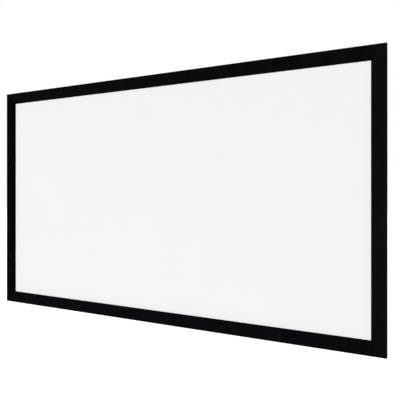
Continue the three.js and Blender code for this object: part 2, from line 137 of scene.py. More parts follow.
@dataclass(frozen=True)
class FrameSizes:
    """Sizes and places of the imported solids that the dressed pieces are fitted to."""

    half_width: float
    half_height: float
    front: float
    border: float
    rail_depth: float
    wall: float
    rod_across: float
    rod_deep: float
    rod_radius: float

    @classmethod
    def measured(cls) -> "FrameSizes":
        """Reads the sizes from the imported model.

        Returns:
            The sizes, in metres.
        """
        cover_low, cover_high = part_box("velvet_right")
        top_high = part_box("velvet_top_left")[1]
        rod_low, rod_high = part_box("tension_rod_top_left")
        wall_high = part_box("wall_bracket_top_left")[1]
        rod_centre = (rod_low + rod_high) / 2
        return cls(
            half_width=cover_high.x,
            half_height=top_high.z,
            front=cover_low.y,
            border=cover_high.x - cover_low.x,
            rail_depth=cover_high.y - cover_low.y,
            wall=wall_high.y,
            rod_across=top_high.z - rod_centre.z,
            rod_deep=rod_centre.y - cover_low.y,
            rod_radius=(rod_high.y - rod_low.y) / 2,
        )

    def half_length(self, side: Side) -> float:
        """Half the outer length of a side."""
        return self.half_width if side.is_long else self.half_height

    def placement(self, side: Side, along: float = 0.0) -> Matrix:
        """Places what is modelled on a side.

        Args:
            side: The side of the frame.
            along: How far from the side's middle it goes.

        Returns:
            The matrix from the side's own axes, which are X along it, Y deep from the velvet's
            front and Z outwards from the frame's outer edge, to the axes of the whole screen.
        """
        turn = Matrix.Rotation(side.value * QUARTER_TURN, 4, "Y")
        edge = self.half_height if side.is_long else self.half_width
        return Matrix.Translation((0, self.front, 0)) @ turn @ Matrix.Translation((along, 0, edge))

    def along(self, side: Side, node: str) -> float:
        """Finds a solid on its side.

        Args:
            side: The side of the frame.
            node: The solid's name.

        Returns:
            How far along the side the middle of the solid's box lies.
        """
        low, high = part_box(node)
        return (self.placement(side).inverted() @ ((low + high) / 2)).x


SIZES = FrameSizes.measured()


def solids_named(start: str) -> list[str]:
    """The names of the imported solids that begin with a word, sorted."""
    return sorted(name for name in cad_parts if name.startswith(start))


def spring_places(side: Side) -> dict[str, float]:
    """How far along a side each of its springs lies, by the spring's name."""
    return {node: SIZES.along(side, node) for node in solids_named(f"spring_{side.word}_")}


def on_section(across: float, deep: float, along: float = 0.0) -> Vector:
    """A point in a side's own axes, from its place on the rail's section."""
    return Vector((along, deep, -across))


def select_only(piece: bpy.types.Object) -> None:
    """Leaves one piece selected and active.

    Args:
        piece: The piece.
    """
    bpy.ops.object.select_all(action="DESELECT")
    piece.hide_set(False)
    piece.select_set(True)
    bpy.context.view_layer.objects.active = piece


class Shaper:
    """Edit mode on one mesh, with each selection made by place."""

    def __init__(self, piece: bpy.types.Object) -> None:
        """Keeps the piece to be shaped."""
        self.piece = piece

    def __enter__(self) -> "Shaper":
        """Opens the piece in edit mode with nothing selected.

        Returns:
            The shaper itself.
        """
        select_only(self.piece)
        bpy.ops.object.mode_set(mode="EDIT")
        bpy.ops.mesh.select_mode(type="VERT")
        bpy.ops.mesh.select_all(action="DESELECT")
        return self

    def __exit__(self, *_: object) -> None:
        """Goes back to object mode."""
        bpy.ops.object.mode_set(mode="OBJECT")

    def _select(self, kind: str, wanted: Callable[..., bool]) -> None:
        """Selects edges or vertices by place.

        Args:
            kind: EDGE or VERT.
            wanted: Says of the places of an edge's ends, or of a vertex's, whether it is selected.
        """
        bpy.ops.mesh.select_mode(type=kind)
        bpy.ops.mesh.select_all(action="DESELECT")
        mesh = bmesh.from_edit_mesh(self.piece.data)
        for part in mesh.edges if kind == "EDGE" else mesh.verts:
            ends = part.verts if kind == "EDGE" else [part]
            if wanted(*(end.co for end in ends)):
                part.select_set(True)
        bmesh.update_edit_mesh(self.piece.data)

    def select_edges(self, wanted: Callable[[Vector, Vector], bool]) -> None:
        """Selects edges, each by the places of its two ends."""
        self._select("EDGE", wanted)

    def select_points(self, wanted: Callable[[Vector], bool]) -> None:
        """Selects vertices, each by its place."""
        self._select("VERT", wanted)

    def select_fold(self, corner: Vector) -> None:
        """Selects the edges that run along X through a point of the section."""
        self.select_edges(
            lambda a, b: all((point - corner).yz.length < TOUCH for point in (a, b))
        )

    def select_all(self) -> None:
        """Selects the whole mesh."""
        bpy.ops.mesh.select_all(action="SELECT")

    def extrude(self, move: Vector) -> None:
        """Extrudes what is selected and leaves the new end selected."""
        bpy.ops.mesh.extrude_region_move(TRANSFORM_OT_translate={"value": tuple(move)})

    def move(self, shift: Vector) -> None:
        """Moves what is selected."""
        bpy.ops.transform.translate(value=tuple(shift))

    def bevel(self, width: float, steps: int) -> None:
        """Rounds the selected edges."""
        bpy.ops.mesh.bevel(offset=width, segments=steps, affect="EDGES")

    def round_corners(self, radius: float, steps: int) -> None:
        """Rounds the selected corners of a flat sheet."""
        bpy.ops.mesh.bevel(offset=radius, segments=steps, affect="VERTICES")

    def merge_facets(self) -> None:
        """Merges doubled vertices, and triangles that lie in one plane."""
        self.select_all()
        bpy.ops.mesh.remove_doubles(threshold=DOUBLED)
        bpy.ops.mesh.dissolve_limited(angle_limit=COPLANAR)

    def spin(self, centre: Vector, axis: Vector, turn: float, steps: int) -> None:
        """Sweeps what is selected round an axis and leaves the new end selected.

        Args:
            centre: A point of the axis.
            axis: The axis, with the turn following the right-hand rule.
            turn: The angle.
            steps: How many steps the sweep has.
        """
        bpy.ops.mesh.spin(steps=steps, angle=-turn, center=centre, axis=axis)

    def close_ring(self) -> None:
        """Fills the selected ring with one face."""
        bpy.ops.mesh.edge_face_add()

    def cut(self, point: Vector, normal: Vector, saw_off: bool = False) -> None:
        """Cuts the whole mesh along a plane.

        Args:
            point: A point of the plane.
            normal: The plane's normal.
            saw_off: Whether what lies behind the plane is deleted and the cut is closed.
        """
        self.select_all()
        bpy.ops.mesh.bisect(
            plane_co=point,
            plane_no=normal,
            clear_inner=saw_off,
            use_fill=saw_off,
            threshold=ON_CUT,
        )

    def tidy(self) -> None:
        """Merges doubled vertices and turns all faces outwards."""
        self.select_all()
        bpy.ops.mesh.remove_doubles(threshold=DOUBLED)
        bpy.ops.mesh.normals_make_consistent(inside=False)


def apply_modifier(piece: bpy.types.Object, kind: str, **settings: object) -> None:
    """Adds a modifier to a piece and applies it.

    Args:
        piece: The piece.
        kind: The modifier's type.
        **settings: Its values, by property name.
    """
    select_only(piece)
    modifier = piece.modifiers.new(kind.lower(), kind)
    for key, value in settings.items():
        setattr(modifier, key, value)
    bpy.ops.object.modifier_apply(modifier=modifier.name)


def place_piece(piece: bpy.types.Object, placement: Matrix) -> None:
    """Moves a piece to its place and leaves its object at the origin, unturned.

    Args:
        piece: The piece.
        placement: The matrix that moves it.
    """
    piece.matrix_world = placement @ piece.matrix_world
    select_only(piece)
    bpy.ops.object.transform_apply(location=True, rotation=True, scale=True)


def adopt(name: str, *finishes: bpy.types.Material) -> bpy.types.Object:
    """Names and dresses the piece that was just made.

    Args:
        name: The piece's name.
        *finishes: Materials to add to its slots.

    Returns:
        The piece, with its place, turn and scale in its mesh.
    """
    piece = bpy.context.active_object
    piece.name = name
    piece.data.name = name
    for finish in finishes:
        piece.data.materials.append(finish)
    bpy.ops.object.transform_apply(location=True, rotation=True, scale=True)
    return piece


def copy_piece(
    piece: bpy.types.Object, name: str, *finishes: bpy.types.Material
) -> bpy.types.Object:
    """Copies a piece with a mesh of its own.

    Args:
        piece: The piece to copy.
        name: The copy's name.
        *finishes: Materials to add to its slots.

    Returns:
        The copy.
    """
    select_only(piece)
    bpy.ops.object.duplicate(linked=False)
    return adopt(name, *finishes)


def add_primitive(
    operator: Callable[..., object],
    name: str,
    *finishes: bpy.types.Material,
    stretch: Sequence[float] = (1, 1, 1),
    **options: object,
) -> bpy.types.Object:
    """Adds a primitive, dressed and alone selected.

    Args:
        operator: Blender's operator that adds it.
        name: The new piece's name.
        *finishes: The materials of its slots.
        stretch: What its own axes are multiplied by.
        **options: The operator's options.

    Returns:
        The piece, in object mode.
    """
    bpy.ops.object.select_all(action="DESELECT")
    operator(**options)
    bpy.context.active_object.scale = stretch
    return adopt(name, *finishes)


def add_rectangle(
    name: str, low: Vector, high: Vector, *finishes: bpy.types.Material
) -> bpy.types.Object:
    """Adds a rectangle that faces the audience.

    Args:
        name: The new piece's name.
        low: Its corner with the lowest X and Z.
        high: Its corner with the highest X and Z.
        *finishes: The materials of its slots.

    Returns:
        The piece, in object mode.
    """
    return add_primitive(
        bpy.ops.mesh.primitive_plane_add,
        name,
        *finishes,
        stretch=(high.x - low.x, high.z - low.z, 1),
        size=1,
        location=(low + high) / 2,
        rotation=(QUARTER_TURN, 0, 0),
    )


def add_pin(
    name: str,
    radius: float,
    front: float,
    back: float,
    place: tuple[float, float] = (0.0, 0.0),
    *finishes: bpy.types.Material,
    sides: int = 24,
) -> bpy.types.Object:
    """Adds a cylinder that runs from the audience's side towards the wall.

    Args:
        name: The new piece's name.
        radius: Its radius.
        front: How deep its front end lies.
        back: How deep its back end lies.
        place: Its place along the side and across it.
        *finishes: The materials of its slots.
        sides: How many sides it has.

    Returns:
        The piece in a side's own axes.
    """
    along, across = place
    return add_primitive(
        bpy.ops.mesh.primitive_cylinder_add,
        name,
        *finishes,
        vertices=sides,
        radius=radius,
        depth=back - front,
        location=on_section(across, (front + back) / 2, along),
        rotation=(-QUARTER_TURN, 0, 0),
    )


def smooth(piece: bpy.types.Object, crease: Crease) -> None:
    """Shades a piece smooth over every edge flatter than a crease."""
    select_only(piece)
    bpy.ops.object.shade_smooth_by_angle(angle=math.radians(crease.value))


def flatten_shading(piece: bpy.types.Object) -> None:
    """Keeps large flat faces flat where they meet rounded edges."""
    apply_modifier(
        piece, "WEIGHTED_NORMAL", mode="FACE_AREA", weight=FLAT_WEIGHT, keep_sharp=True
    )


def ease_edges(piece: bpy.types.Object, width: float) -> None:
    """Breaks the sharp edges of a piece and shades it.

    Args:
        piece: The piece.
        width: The width of the broken edge.
    """
    apply_modifier(
        piece,
        "BEVEL",
        width=width,
        segments=BROKEN_STEPS,
        limit_method="ANGLE",
        angle_limit=SHARP,
    )
    smooth(piece, Crease.PLATE)
    flatten_shading(piece)


def thicken(
    piece: bpy.types.Object,
    thickness: float,
    growth: Growth = Growth.BOTH_WAYS,
    back_slot: int = 0,
) -> None:
    """Gives a folded sheet its thickness.

    Args:
        piece: The sheet.
        thickness: Its thickness.
        growth: Where the thickness goes.
        back_slot: How many slots further on the back's material is than the front's.
    """
    apply_modifier(
        piece,
        "SOLIDIFY",
        thickness=thickness,
        offset=growth.value,
        use_even_offset=True,
        material_offset=back_slot,
    )


def cut_away(piece: bpy.types.Object, *cutters: bpy.types.Object) -> None:
    """Cuts shapes out of a piece and removes the cutters.

    Args:
        piece: The piece.
        *cutters: The shapes.
    """
    for cutter in cutters:
        apply_modifier(piece, "BOOLEAN", object=cutter, operation="DIFFERENCE", solver="EXACT")
        bpy.data.objects.remove(cutter)


def join_pieces(pieces: Sequence[bpy.types.Object]) -> bpy.types.Object:
    """Joins pieces into one.

    Args:
        pieces: The pieces.

    Returns:
        The first of them, which the others are now part of.
    """
    bpy.ops.object.select_all(action="DESELECT")
    for piece in pieces:
        piece.select_set(True)
    bpy.context.view_layer.objects.active = pieces[0]
    bpy.ops.object.join()
    return pieces[0]


def install(piece: bpy.types.Object, node: str) -> None:
    """Gives a finished piece its place in the model.

    Args:
        piece: The finished piece, already dressed.
        node: The solid that it stands for.
    """
    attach(piece, BODY)
    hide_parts(node)
    LOG.info("%s: %d faces, stands for %s", piece.name, len(piece.data.polygons), node)


def install_copy(
    pattern: bpy.types.Object,
    name: str,
    placement: Matrix,
    slot: str,
    node: str,
    *finishes: bpy.types.Material,
) -> None:
    """Copies a pattern and gives the copy its place in the model.

    Args:
        pattern: The piece that is copied.
        name: The copy's name.
        placement: The matrix from the pattern's axes to the axes of the whole screen.
        slot: The record's material slot, which is not used.
        node: The solid that the copy stands for.
        *finishes: Materials to add to the pattern's own.
    """
    piece = copy_piece(pattern, name, *finishes)
    place_piece(piece, placement)
    install(piece, node)


def discard(*patterns: bpy.types.Object) -> None:
    """Removes the patterns whose copies are installed."""
    for pattern in patterns:
        bpy.data.objects.remove(pattern)


class Value:
    """A number that nodes work out. Arithmetic on it adds Math nodes."""

    def __init__(self, maker: "NodeMaker", socket: bpy.types.NodeSocket) -> None:
        """Keeps the socket that carries the number."""
        self.maker = maker
        self.socket = socket

    def _math(self, operation: str, *terms: "Term") -> "Value":
        """Adds one Math node."""
        node = self.maker.node("ShaderNodeMath", {"operation": operation}, dict(enumerate(terms)))
        return Value(self.maker, node.outputs[0])

    def __add__(self, other: "Term") -> "Value":
        """self + other"""
        return self._math("ADD", self, other)

    def __radd__(self, other: "Term") -> "Value":
        """other + self"""
        return self._math("ADD", other, self)

    def __sub__(self, other: "Term") -> "Value":
        """self - other"""
        return self._math("SUBTRACT", self, other)

    def __rsub__(self, other: "Term") -> "Value":
        """other - self"""
        return self._math("SUBTRACT", other, self)

    def __mul__(self, other: "Term") -> "Value":
        """self * other"""
        return self._math("MULTIPLY", self, other)

    def __rmul__(self, other: "Term") -> "Value":
        """other * self"""
        return self._math("MULTIPLY", other, self)

    def sine(self) -> "Value":
        """The sine of the number."""
        return self._math("SINE", self)

    def at_most(self, other: "Term") -> "Value":
        """The smaller of two numbers."""
        return self._math("MINIMUM", self, other)

    def at_least(self, other: "Term") -> "Value":
        """The larger of two numbers."""
        return self._math("MAXIMUM", self, other)

    def steepened(self, start: float, gain: float) -> "Value":
        """How far the number is past a start, times a gain, kept from 0 to 1."""
        return ((self - start) * gain).at_least(0.0).at_most(1.0)

    def between(self, low: float, high: float) -> "Value":
        """The number from a low to a high end that this one from 0 to 1 stands for."""
        return low + self * (high - low)

    def mixed(self, other: "Value", share: float) -> "Value":
        """This number and another one, which counts for a share of the whole."""
        return self * (1 - share) + other * share


Term = Value | bpy.types.NodeSocket | float | Sequence[float]
Colour = tuple[float, float, float]
Span = tuple[float, float]
BLACK: Colour = (0, 0, 0)
WHITE: Colour = (1, 1, 1)


class NodeMaker:
    """Adds nodes to the tree of a material or of the world."""

    MIX_FACTOR = 0
    MIX_FIRST = 6
    MIX_SECOND = 7
    MIX_COLOUR = 2

    def __init__(self, tree: bpy.types.NodeTree) -> None:
        """Keeps the tree that the nodes go into."""
        self.tree = tree

    def node(
        self,
        kind: str,
        settings: Mapping[str, object] | None = None,
        inputs: Mapping[str | int, Term] | None = None,
    ) -> bpy.types.Node:
        """Adds a node.

        Args:
            kind: The node's type.
            settings: Its options, by property name, which are set first.
            inputs: Values or links for its sockets, by name or number.

        Returns:
            The node.
        """
        made = self.tree.nodes.new(kind)
        for key, value in (settings or {}).items():
            setattr(made, key, value)
        for key, term in (inputs or {}).items():
            self.feed(made.inputs[key], term)
        return made

    def feed(self, socket: bpy.types.NodeSocket, term: Term) -> None:
        """Links a socket or sets its value.

        Args:
            socket: The socket.
            term: What it gets.
        """
        if isinstance(term, Value):
            self.tree.links.new(term.socket, socket)
        elif isinstance(term, bpy.types.NodeSocket):
            self.tree.links.new(term, socket)
        else:
            socket.default_value = term

    def background_rays(self) -> Value:
        """Tells the rays that show the surround from those that light the object.

        Returns:
            1 for camera, glossy and transmission rays, and 0 for all others.
        """
        path = self.node("ShaderNodeLightPath")
        camera, glossy, transmission = (
            Value(self, path.outputs[f"Is {kind} Ray"])
            for kind in ("Camera", "Glossy", "Transmission")
        )
        return camera.at_least(glossy).at_least(transmission)

    def places(self, stretch: Sequence[float] = (1, 1, 1)) -> bpy.types.NodeSocket:
        """The place of each point on the piece, in metres.

        Args:
            stretch: What each axis is multiplied by.

        Returns:
            A vector socket.
        """
        coordinates = self.node("ShaderNodeTexCoord").outputs["Object"]
        mapping = self.node("ShaderNodeMapping", None, {"Vector": coordinates, "Scale": stretch})
        return mapping.outputs["Vector"]

    def noise(
        self, places: bpy.types.NodeSocket, size: float, detail: float = 2, rough: float = 0.5
    ) -> Value:
        """Smooth noise from 0 to 1.

        Args:
            places: Where it is read.
            size: The size of its largest features.
            detail: How many finer layers it has.
            rough: How strong those layers are.

        Returns:
            The noise.
        """
        inputs = {"Vector": places, "Scale": 1 / size, "Detail": detail, "Roughness": rough}
        return Value(self, self.node("ShaderNodeTexNoise", None, inputs).outputs["Fac"])

    def cells(self, places: bpy.types.NodeSocket, size: float) -> Value:
        """Random levels from 0 to 1.

        Args:
            places: Where they are read.
            size: The size of the cells, which have a level each.

        Returns:
            The levels.
        """
        inputs = {"Vector": places, "Scale": 1 / size}
        colour = self.node("ShaderNodeTexVoronoi", None, inputs).outputs["Color"]
        parts = self.node("ShaderNodeSeparateColor", None, {"Color": colour})
        return Value(self, parts.outputs["Red"])

    def blend(self, factor: Term, first: Colour, second: Colour) -> bpy.types.NodeSocket:
        """Mixes two colours.

        Args:
            factor: 0 for the first colour and 1 for the second.
            first: The first colour.
            second: The second colour.

        Returns:
            A colour socket.
        """
        inputs = {
            self.MIX_FACTOR: factor,
            self.MIX_FIRST: (*first, 1),
            self.MIX_SECOND: (*second, 1),
        }
        mix = self.node("ShaderNodeMix", {"data_type": "RGBA"}, inputs)
        return mix.outputs[self.MIX_COLOUR]

    def relief(self, height: Term, depth: float, strength: float) -> bpy.types.NodeSocket:
        """Bumps the surface by a height from 0 to 1 that stands for a depth in metres."""
        inputs = {"Height": height, "Distance": depth, "Strength": strength}
        return self.node("ShaderNodeBump", None, inputs).outputs["Normal"]


class MaterialMaker(NodeMaker):
    """The nodes of one material, with its main shader."""

    def __init__(self, name: str) -> None:
        """Starts a material.

        Args:
            name: The material's name.
        """
        self.material = bpy.data.materials.new(name)
        self.material.use_nodes = True
        super().__init__(self.material.node_tree)
        self.shader = self.tree.nodes["Principled BSDF"]

    def dress(self, **inputs: Term) -> bpy.types.Material:
        """Feeds the main shader.

        Args:
            **inputs: Values or links, by socket name with _ for each space.

        Returns:
            The material.
        """
        for key, term in inputs.items():
            self.feed(self.shader.inputs[key.replace("_", " ")], term)
        return self.material


class Finish(ABC):
    """A surface finish that is made once and shared by its pieces."""

    @abstractmethod
    def make(self) -> bpy.types.Material:
        """Builds the material."""


@dataclass(frozen=True)
class VelvetFlock(Finish):
    """Black velvet with a short pile, whose lighter tone is given per side of the frame and carries
    painted shade.
    """

    side: Side
    leaning: Colour
    shade: Colour = (0.0006, 0.0006, 0.0006)
    pile: float = 0.7 * MM
    pile_depth: float = 0.35 * MM
    tip_start: float = 0.36
    tip_gain: float = 3.6
    tip_share: float = 0.55
    patch: float = 70 * MM
    patch_start: float = 0.3
    patch_gain: float = 2.5
    patch_share: float = 0.3
    roughness: Span = (0.86, 0.98)
    sheen_tint: Colour = (0.75, 0.75, 0.75)

    def make(self) -> bpy.types.Material:
        """Builds the material.

        Returns:
            The material.
        """
        maker = MaterialMaker(f"black velvet flock, {self.side.word} rail")
        places = maker.places()
        pile = maker.noise(places, self.pile, detail=3, rough=0.65)
        tips = pile.steepened(self.tip_start, self.tip_gain)
        patches = maker.noise(places, self.patch, detail=3)
        brushed = patches.steepened(self.patch_start, self.patch_gain)
        tone = brushed * self.patch_share + tips * self.tip_share
        return maker.dress(
            # The lighter pile colour is set per side of the frame and paints the shading across it
            Base_Color=maker.blend(tone, self.shade, self.leaning),
            Roughness=pile.between(*self.roughness),
            Normal=maker.relief(pile, self.pile_depth, strength=0.6),
            Specular_IOR_Level=0.015,
            Sheen_Weight=0.012,
            Sheen_Roughness=0.45,
            Sheen_Tint=(*self.sheen_tint, 1),
        )


@dataclass(frozen=True)
class MattSheet(Finish):
    """The white side of the projection sheet, with a fine even grain."""

    shade: Colour = (0.894, 0.894, 0.894)
    bright: Colour = (0.908, 0.908, 0.908)
    grain: float = 0.35 * MM
    grain_depth: float = 0.02 * MM
    cloud: float = 0.4
    cloud_share: float = 0.6
    roughness: Span = (0.90, 0.98)

    def make(self) -> bpy.types.Material:
        """Builds the material.

        Returns:
            The material.
        """
        maker = MaterialMaker("matt white projection surface")
        places = maker.places()
        grain = maker.noise(places, self.grain, detail=2, rough=0.6)
        cloud = maker.noise(places, self.cloud, detail=1)
        tone = grain.mixed(cloud, self.cloud_share)
        return maker.dress(
            Base_Color=maker.blend(tone, self.shade, self.bright),
            Roughness=grain.between(*self.roughness),
            Normal=maker.relief(grain, self.grain_depth, strength=0.5),
            Specular_IOR_Level=0.03,
        )


@dataclass(frozen=True)
class SheetBack(Finish):
    """The pale grey back of the projection sheet, with the weave of its carrier cloth."""

    shade: Colour = (0.50, 0.51, 0.53)
    bright: Colour = (0.58, 0.59, 0.60)
    thread: float = 0.9 * MM
    thread_depth: float = 0.06 * MM
    cloud: float = 120 * MM
    weave_share: float = 0.4
    roughness: Span = (0.72, 0.84)

    def make(self) -> bpy.types.Material:
        """Builds the material.

        Returns:
            The material.
        """
        maker = MaterialMaker("grey back of the projection surface")
        places = maker.places()
        parts = maker.node("ShaderNodeSeparateXYZ", None, {"Vector": places})
        warp, weft = (
            (Value(maker, parts.outputs[axis]) * (math.tau / self.thread)).sine() * 0.5 + 0.5
            for axis in ("X", "Z")
        )
        weave = warp * weft
        cloud = maker.noise(places, self.cloud, detail=3)
        tone = cloud.mixed(weave, self.weave_share)
        return maker.dress(
            Base_Color=maker.blend(tone, self.shade, self.bright),
            Roughness=weave.between(*self.roughness),
            Normal=maker.relief(weave, self.thread_depth, strength=0.5),
            Specular_IOR_Level=0.3,
        )


@dataclass(frozen=True)
class DrawnMetal(Finish):
    """Metal with fine lines along the direction it was extruded, drawn or brushed in."""

    grain: Grain
    name: str
    shade: Colour
    bright: Colour
    metallic: float = 1.0
    line: float = 0.5 * MM
    line_length: float = 120 * MM
    line_depth: float = 0.01 * MM
    wear: float = 35 * MM
    wear_share: float = 0.4
    roughness: float = 0.32
    line_roughness: float = 0.14
    wear_roughness: float = 0.08

    def make(self) -> bpy.types.Material:
        """Builds the material.

        Returns:
            The material.
        """
        maker = MaterialMaker(f"{self.name}, {self.grain.words}")
        stretch = self.grain.drawn_out(self.line / self.line_length)
        lines = maker.noise(maker.places(stretch), self.line, detail=3, rough=0.7)
        wear = maker.noise(maker.places(), self.wear, detail=4)
        tone = lines.mixed(wear, self.wear_share)
        return maker.dress(
            Base_Color=maker.blend(tone, self.shade, self.bright),
            Metallic=self.metallic,
            Roughness=self.roughness + lines * self.line_roughness + wear * self.wear_roughness,
            Normal=maker.relief(lines, self.line_depth, strength=0.4),
        )


@dataclass(frozen=True)
class ZincPlate(Finish):
    """Bright zinc plate on pressed steel, slightly mottled."""

    shade: Colour = (0.42, 0.43, 0.46)
    bright: Colour = (0.62, 0.63, 0.64)
    haze: float = 18 * MM
    spangle: float = 3 * MM
    spangle_share: float = 0.3
    pressing: float = 0.4 * MM
    pressing_depth: float = 0.012 * MM
    roughness: float = 0.26
    haze_roughness: float = 0.16
    spangle_roughness: float = 0.08

    def make(self) -> bpy.types.Material:
        """Builds the material.

        Returns:
            The material.
        """
        maker = MaterialMaker("zinc plated steel")
        places = maker.places()
        spangle = maker.cells(places, self.spangle)
        haze = maker.noise(places, self.haze, detail=4)
        grain = maker.noise(places, self.pressing, detail=2)
        tone = haze.mixed(spangle, self.spangle_share)
        rough = self.roughness + haze * self.haze_roughness
        return maker.dress(
            Base_Color=maker.blend(tone, self.shade, self.bright),
            Metallic=1.0,
            Roughness=rough + spangle * self.spangle_roughness,
            Normal=maker.relief(grain, self.pressing_depth, strength=0.5),
        )


@dataclass(frozen=True)
class Fibreglass(Finish):
    """Cream rod of drawn glass fibres in resin."""

    grain: Grain
    shade: Colour = (0.66, 0.60, 0.44)
    bright: Colour = (0.84, 0.80, 0.66)
    strand: float = 0.4 * MM
    strand_length: float = 40 * MM
    strand_depth: float = 0.02 * MM
    roughness: Span = (0.34, 0.50)

    def make(self) -> bpy.types.Material:
        """Builds the material.

        Returns:
            The material.
        """
        maker = MaterialMaker(f"fibreglass, {self.grain.words}")
        stretch = self.grain.drawn_out(self.strand / self.strand_length)
        strands = maker.noise(maker.places(stretch), self.strand, detail=3, rough=0.7)
        return maker.dress(
            Base_Color=maker.blend(strands, self.shade, self.bright),
            Roughness=strands.between(*self.roughness),
            Normal=maker.relief(strands, self.strand_depth, strength=0.5),
            Coat_Weight=0.2,
        )


@dataclass(frozen=True)
class BlackAnodising(DrawnMetal):
    """Black anodised aluminium."""

    name: str = "black anodised aluminium"
    shade: Colour = (0.016, 0.016, 0.018)
    bright: Colour = (0.034, 0.034, 0.037)
    metallic: float = 0.0
    roughness: float = 0.34


@dataclass(frozen=True)
class MillAluminium(DrawnMetal):
    """Bare aluminium as it leaves the die."""

    name: str = "mill finish aluminium"
    shade: Colour = (0.44, 0.45, 0.47)
    bright: Colour = (0.60, 0.61, 0.63)
    roughness: float = 0.3


@dataclass(frozen=True)
class SpringWire(DrawnMetal):
    """Hard drawn spring wire."""

    name: str = "spring wire"
    shade: Colour = (0.40, 0.41, 0.43)
    bright: Colour = (0.62, 0.63, 0.65)
    line: float = 0.25 * MM
    line_length: float = 2 * MM
    roughness: float = 0.22


@dataclass(frozen=True)
class ScrewSteel(DrawnMetal):
    """Turned steel of the screws."""

    name: str = "screw steel"
    shade: Colour = (0.30, 0.31, 0.33)
    bright: Colour = (0.50, 0.51, 0.53)
    line: float = 0.2 * MM
    line_length: float = 1 * MM
    roughness: float = 0.26


# The lighter tone of the velvet's pile on each side of the frame, as painted shade: the left rail
# darker, the top middling, the right and bottom lighter and bluer
PILE_TONE_WITH_PAINTED_SHADE = {
    Side.TOP: (0.0060, 0.0061, 0.0061),
    Side.RIGHT: (0.0079, 0.0078, 0.0100),
    Side.BOTTOM: (0.0062, 0.0058, 0.0085),
    Side.LEFT: (0.0021, 0.0018, 0.0020),
}


class Finishes:
    """Every finish of the screen, made once."""

    def __init__(self) -> None:
        """Makes the materials."""
        self.velvet = {side: VelvetFlock(side, PILE_TONE_WITH_PAINTED_SHADE[side]).make() for side in Side}
        self.sheet = MattSheet().make()
        self.sheet_back = SheetBack().make()
        self.zinc = ZincPlate().make()
        self.screw = ScrewSteel(Grain.ALONG_X).make()
        self.rail = {grain: BlackAnodising(grain).make() for grain in Grain}
        self.rod = {grain: Fibreglass(grain).make() for grain in Grain}
        self.wire = {grain: SpringWire(grain).make() for grain in Grain}
        self.bar = MillAluminium(Grain.ALONG_Z).make()


